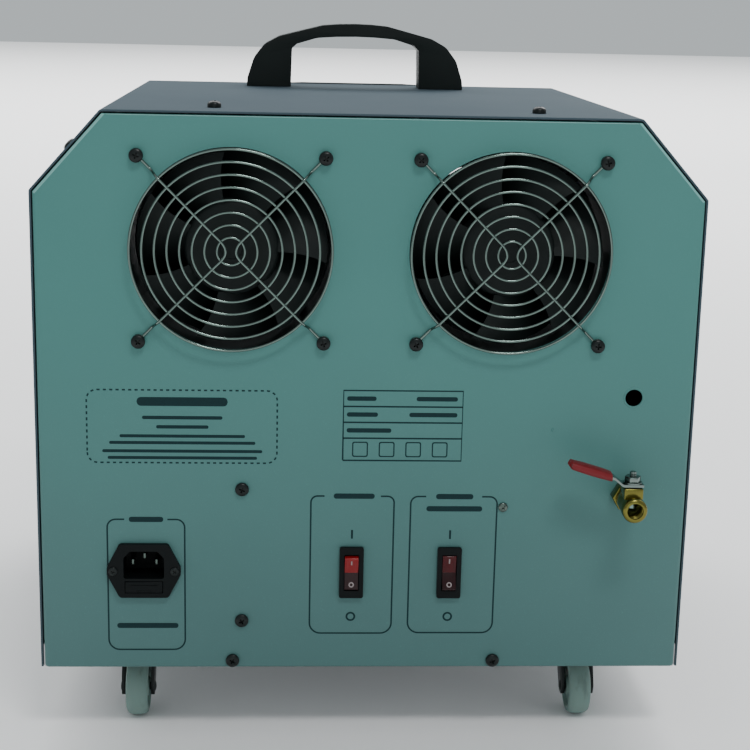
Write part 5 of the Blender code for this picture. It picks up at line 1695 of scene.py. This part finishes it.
# ---- Castors -------------------------------------------------------------------------------
@dataclass
class Castor:
    """One castor: plate, pressed fork and nylon wheel."""

    machine: Machine
    tag: str
    tread: float = 0.0175
    screw_reach: float = 0.0155

    def build(self) -> None:
        """The three pieces and the plate's screws."""
        self.build_wheel()
        self.build_fork()
        m = self.machine
        low, high = m.box("castor_plate_" + self.tag)
        c = m.middle("castor_plate_" + self.tag)
        size = high.x - low.x
        spots = [(a, c.x + a * self.screw_reach, c.y + b * self.screw_reach)
                 for a in (-1, 1) for b in (-1, 1)]
        sheet = plate("plate", [rounded(rectangle((c.x, c.y), size, size), 0.005, 6)]
                      + [circle((x, y), 0.0018, 16) for _, x, y in spots],
                      high.z - 0.002, high.z, Along.Z, 0.0004, 2, 60.0)
        race = lathe("race", [(0.0, -0.0015), (0.0075, -0.0016), (0.0095, -0.0022),
                              (0.0098, -0.0035), (0.0090, -0.0044), (0.0030, -0.0045),
                              (0.0030, low.z - high.z + 0.0013), (0.0046, low.z - high.z + 0.0013),
                              (0.0048, low.z - high.z + 0.0003), (0.0, low.z - high.z)],
                     (c.x, c.y, high.z), (0, 0, 1), 40)
        m.show(gather("castor_top_" + self.tag, [sheet, race]), Finish.ZINC, "machine",
               "castor_plate_" + self.tag)
        screws = [Screw(0.0030, 0.0016, 0.0015).build("screw", (x, y, high.z - 0.002),
                                                      (0, 0, -1), 0.4 + a, 0.002)
                  for a, x, y in spots]
        m.show(gather("castor_screws_" + self.tag, screws), Finish.STEEL, "machine")

    def build_fork(self) -> None:
        """Crown, cheeks with rolled edges, and the axle rivet with its heads."""
        m = self.machine
        high = m.box("castor_fork_" + self.tag)[1]
        wheel = m.middle("castor_wheel_" + self.tag)
        plate_c = m.middle("castor_plate_" + self.tag)
        wheel_low, wheel_high = m.box("castor_wheel_" + self.tag)
        inner = (wheel_high.x - wheel_low.x) / 2 + 0.0010
        outer = inner + 0.0020
        y = plate_c.y
        crown = lathe("crown", [(0.0034, 0.0), (outer + 0.0006, 0.0), (outer + 0.0019, -0.0006),
                                (outer + 0.0019, -0.0014), (outer + 0.0010, -0.0020),
                                (0.0034, -0.0020)], (plate_c.x, y, high.z), (0, 0, 1), 48,
                      closed=True)
        pieces = [crown]
        for side in Side:
            ends = sorted((wheel.x + side.value * inner, wheel.x + side.value * outer))
            outline = rounded([(y - 0.0075, high.z - 0.0006), (y + 0.0090, high.z - 0.0006),
                               (wheel.y + 0.0062, wheel.z + 0.0020),
                               (wheel.y + 0.0042, wheel.z - 0.0050),
                               (wheel.y - 0.0042, wheel.z - 0.0050),
                               (y - 0.0075, high.z - 0.0090)],
                              [0.001, 0.002, 0.004, 0.004, 0.004, 0.004], 5)
            pieces.append(plate("cheek", [outline], *ends, Along.X, 0.0005, 2, 50.0))
            pieces.append(lathe("rivet_head", [(0.0, 0.0011), (0.0022, 0.0008), (0.0036, 0.0001),
                                               (0.0036, -0.0001), (0.0, -0.0001)],
                                (wheel.x + side.value * outer, wheel.y, wheel.z),
                                (side.value, 0, 0), 28))
        pieces.append(rod("axle", (wheel.x - outer, wheel.y, wheel.z), (1, 0, 0), 2 * outer,
                          0.0025, 28))
        m.show(gather("castor_bracket_" + self.tag, pieces), Finish.BLACK_STEEL,
               "castor_" + self.tag, "castor_fork_" + self.tag)

    def build_wheel(self) -> None:
        """A crowned tread with a dished side and a hub."""
        m, r = self.machine, self.tread
        low, high = m.box("castor_wheel_" + self.tag)
        c = m.middle("castor_wheel_" + self.tag)
        half = (high.x - low.x) / 2
        side = [(0.0030, half), (0.0052, half), (0.0058, half - 0.0006), (0.0066, half - 0.0022),
                (r - 0.0052, half - 0.0022), (r - 0.0042, half - 0.0004),
                (r - 0.0034, half - 0.0002), (r - 0.0016, half - 0.0008),
                (r - 0.0005, half - 0.0024), (r, half - 0.0046)]
        profile = side + [(radius, -x) for radius, x in reversed(side)]
        wheel = lathe("castor_tread_" + self.tag, profile, c, (1, 0, 0), 72, closed=True)
        m.show(wheel, Finish.NYLON, "castor_roller_" + self.tag, "castor_wheel_" + self.tag)


# ---- Studio --------------------------------------------------------------------------------
@dataclass
class Studio:
    """Plain floor, soft lights and the camera, at a normal viewing height behind the machine."""

    machine: Machine
    lens: float = 76.37
    camera: Triple = (0.0482, 0.8897, 0.3902)
    yaw: float = -0.0580
    pitch: float = 0.2308
    roll: float = 0.0225
    sky: Triple = (0.90, 0.97, 1.0)
    sky_strength: float = 0.57

    def build_camera(self) -> None:
        """A camera behind the machine, a little to its right and looking slightly down."""
        m = self.machine
        base = m.box("base_tray")[0].z
        data = bpy.data.cameras.new("view")
        data.lens = self.lens
        data.sensor_width = 36.0
        camera = bpy.data.objects.new("view", data)
        ahead = Vector((math.sin(self.yaw) * math.cos(self.pitch),
                        -math.cos(self.yaw) * math.cos(self.pitch), -math.sin(self.pitch)))
        right = Vector((-math.cos(self.yaw), -math.sin(self.yaw), 0.0))
        up = right.cross(ahead)
        tilted_right = right * math.cos(self.roll) + up * math.sin(self.roll)
        tilted_up = up * math.cos(self.roll) - right * math.sin(self.roll)
        turn = Matrix((tilted_right, tilted_up, -ahead)).transposed()
        place = Vector(self.camera) + Vector((0.0, m.rear, base))
        camera.matrix_world = Matrix.Translation(place) @ turn.to_4x4()
        bpy.context.scene.collection.objects.link(camera)
        bpy.context.scene.camera = camera

    def light(self, name: str, place: Triple, target: Triple, size: Pair, power: float,
              colour: Triple = (1.0, 1.0, 1.0)) -> None:
        """One soft area light that faces a target."""
        data = bpy.data.lights.new(name, "AREA")
        data.shape = "RECTANGLE"
        data.size, data.size_y = size
        data.energy = power
        data.color = colour
        lamp = bpy.data.objects.new(name, data)
        lamp.location = place
        lamp.rotation_euler = (Vector(target) - Vector(place)).to_track_quat("-Z", "Y").to_euler()
        bpy.context.scene.collection.objects.link(lamp)

    def build_floor(self) -> None:
        """A plain pale floor that runs far past the machine on every side."""
        g = Graph("pale_floor")
        tone = g.noise(1.5, 2.0)
        material = g.surface({
            "Base Color": g.mix(tone * 0.3, (0.93, 0.93, 0.93), (0.90, 0.90, 0.90)),
            "Roughness": 0.75 + 0.1 * tone,
        })
        floor = block("floor", (-14, -14, -0.02), (14, 14, 0.0))
        floor.data.materials.append(material)

    def build(self) -> None:
        """Camera, lights, floor and surroundings."""
        self.build_camera()
        self.build_floor()
        self.light("key", (-0.30, 1.25, 1.85), (0, 0.15, 0.2), (0.60, 0.30), 14.5)
        self.light("low_fill", (0.0, 2.6, 0.45), (0, 0.1, 0.2), (1.6, 0.5), 3.0,
                   (0.85, 1.0, 0.97))
        self.light("top", (-0.3, -0.6, 2.4), (0, 0, 0.3), (1.2, 1.2), 6.0)
        self.light("front", (-1.2, -2.4, 1.6), (0, 0, 0.2), (1.2, 1.0), 9.0)
        self.light("far_floor", (0.0, -5.5, 5.0), (0.0, -7.5, 0.0), (12.0, 8.0), 1400.0)
        world = bpy.data.worlds.new("studio")
        world.use_nodes = True
        background = world.node_tree.nodes["Background"]
        background.inputs[0].default_value = (*self.sky, 1.0)
        background.inputs[1].default_value = self.sky_strength
        bpy.context.scene.world = world


def main() -> None:
    """Build the machine's looks around its frame, and log how many pieces were made."""
    logging.basicConfig(level=logging.INFO, format="%(message)s")
    machine = Machine(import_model())
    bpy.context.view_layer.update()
    Studio(machine).build()
    Case(machine).build()
    PanelPrint(machine).build()
    for side in Side:
        FanUnit(machine, side).build()
        BubbleDrive(machine, side).build()
    FluidTank(machine).build()
    DrainValve(machine).build()
    RockerSwitch(machine, "manual", math.radians(-7), lit=True).build()
    RockerSwitch(machine, "remote", math.radians(7)).build()
    PowerInlet(machine).build()
    CarryHandle(machine).build()
    for end in ("rear", "front"):
        for side in Side:
            Castor(machine, f"{end}_{side.tag}").build()
    machine.dress("control_box", Finish.BLACK)
    LOG.info("%s pieces made", machine.made)


if __name__ == "__main__":
    main()
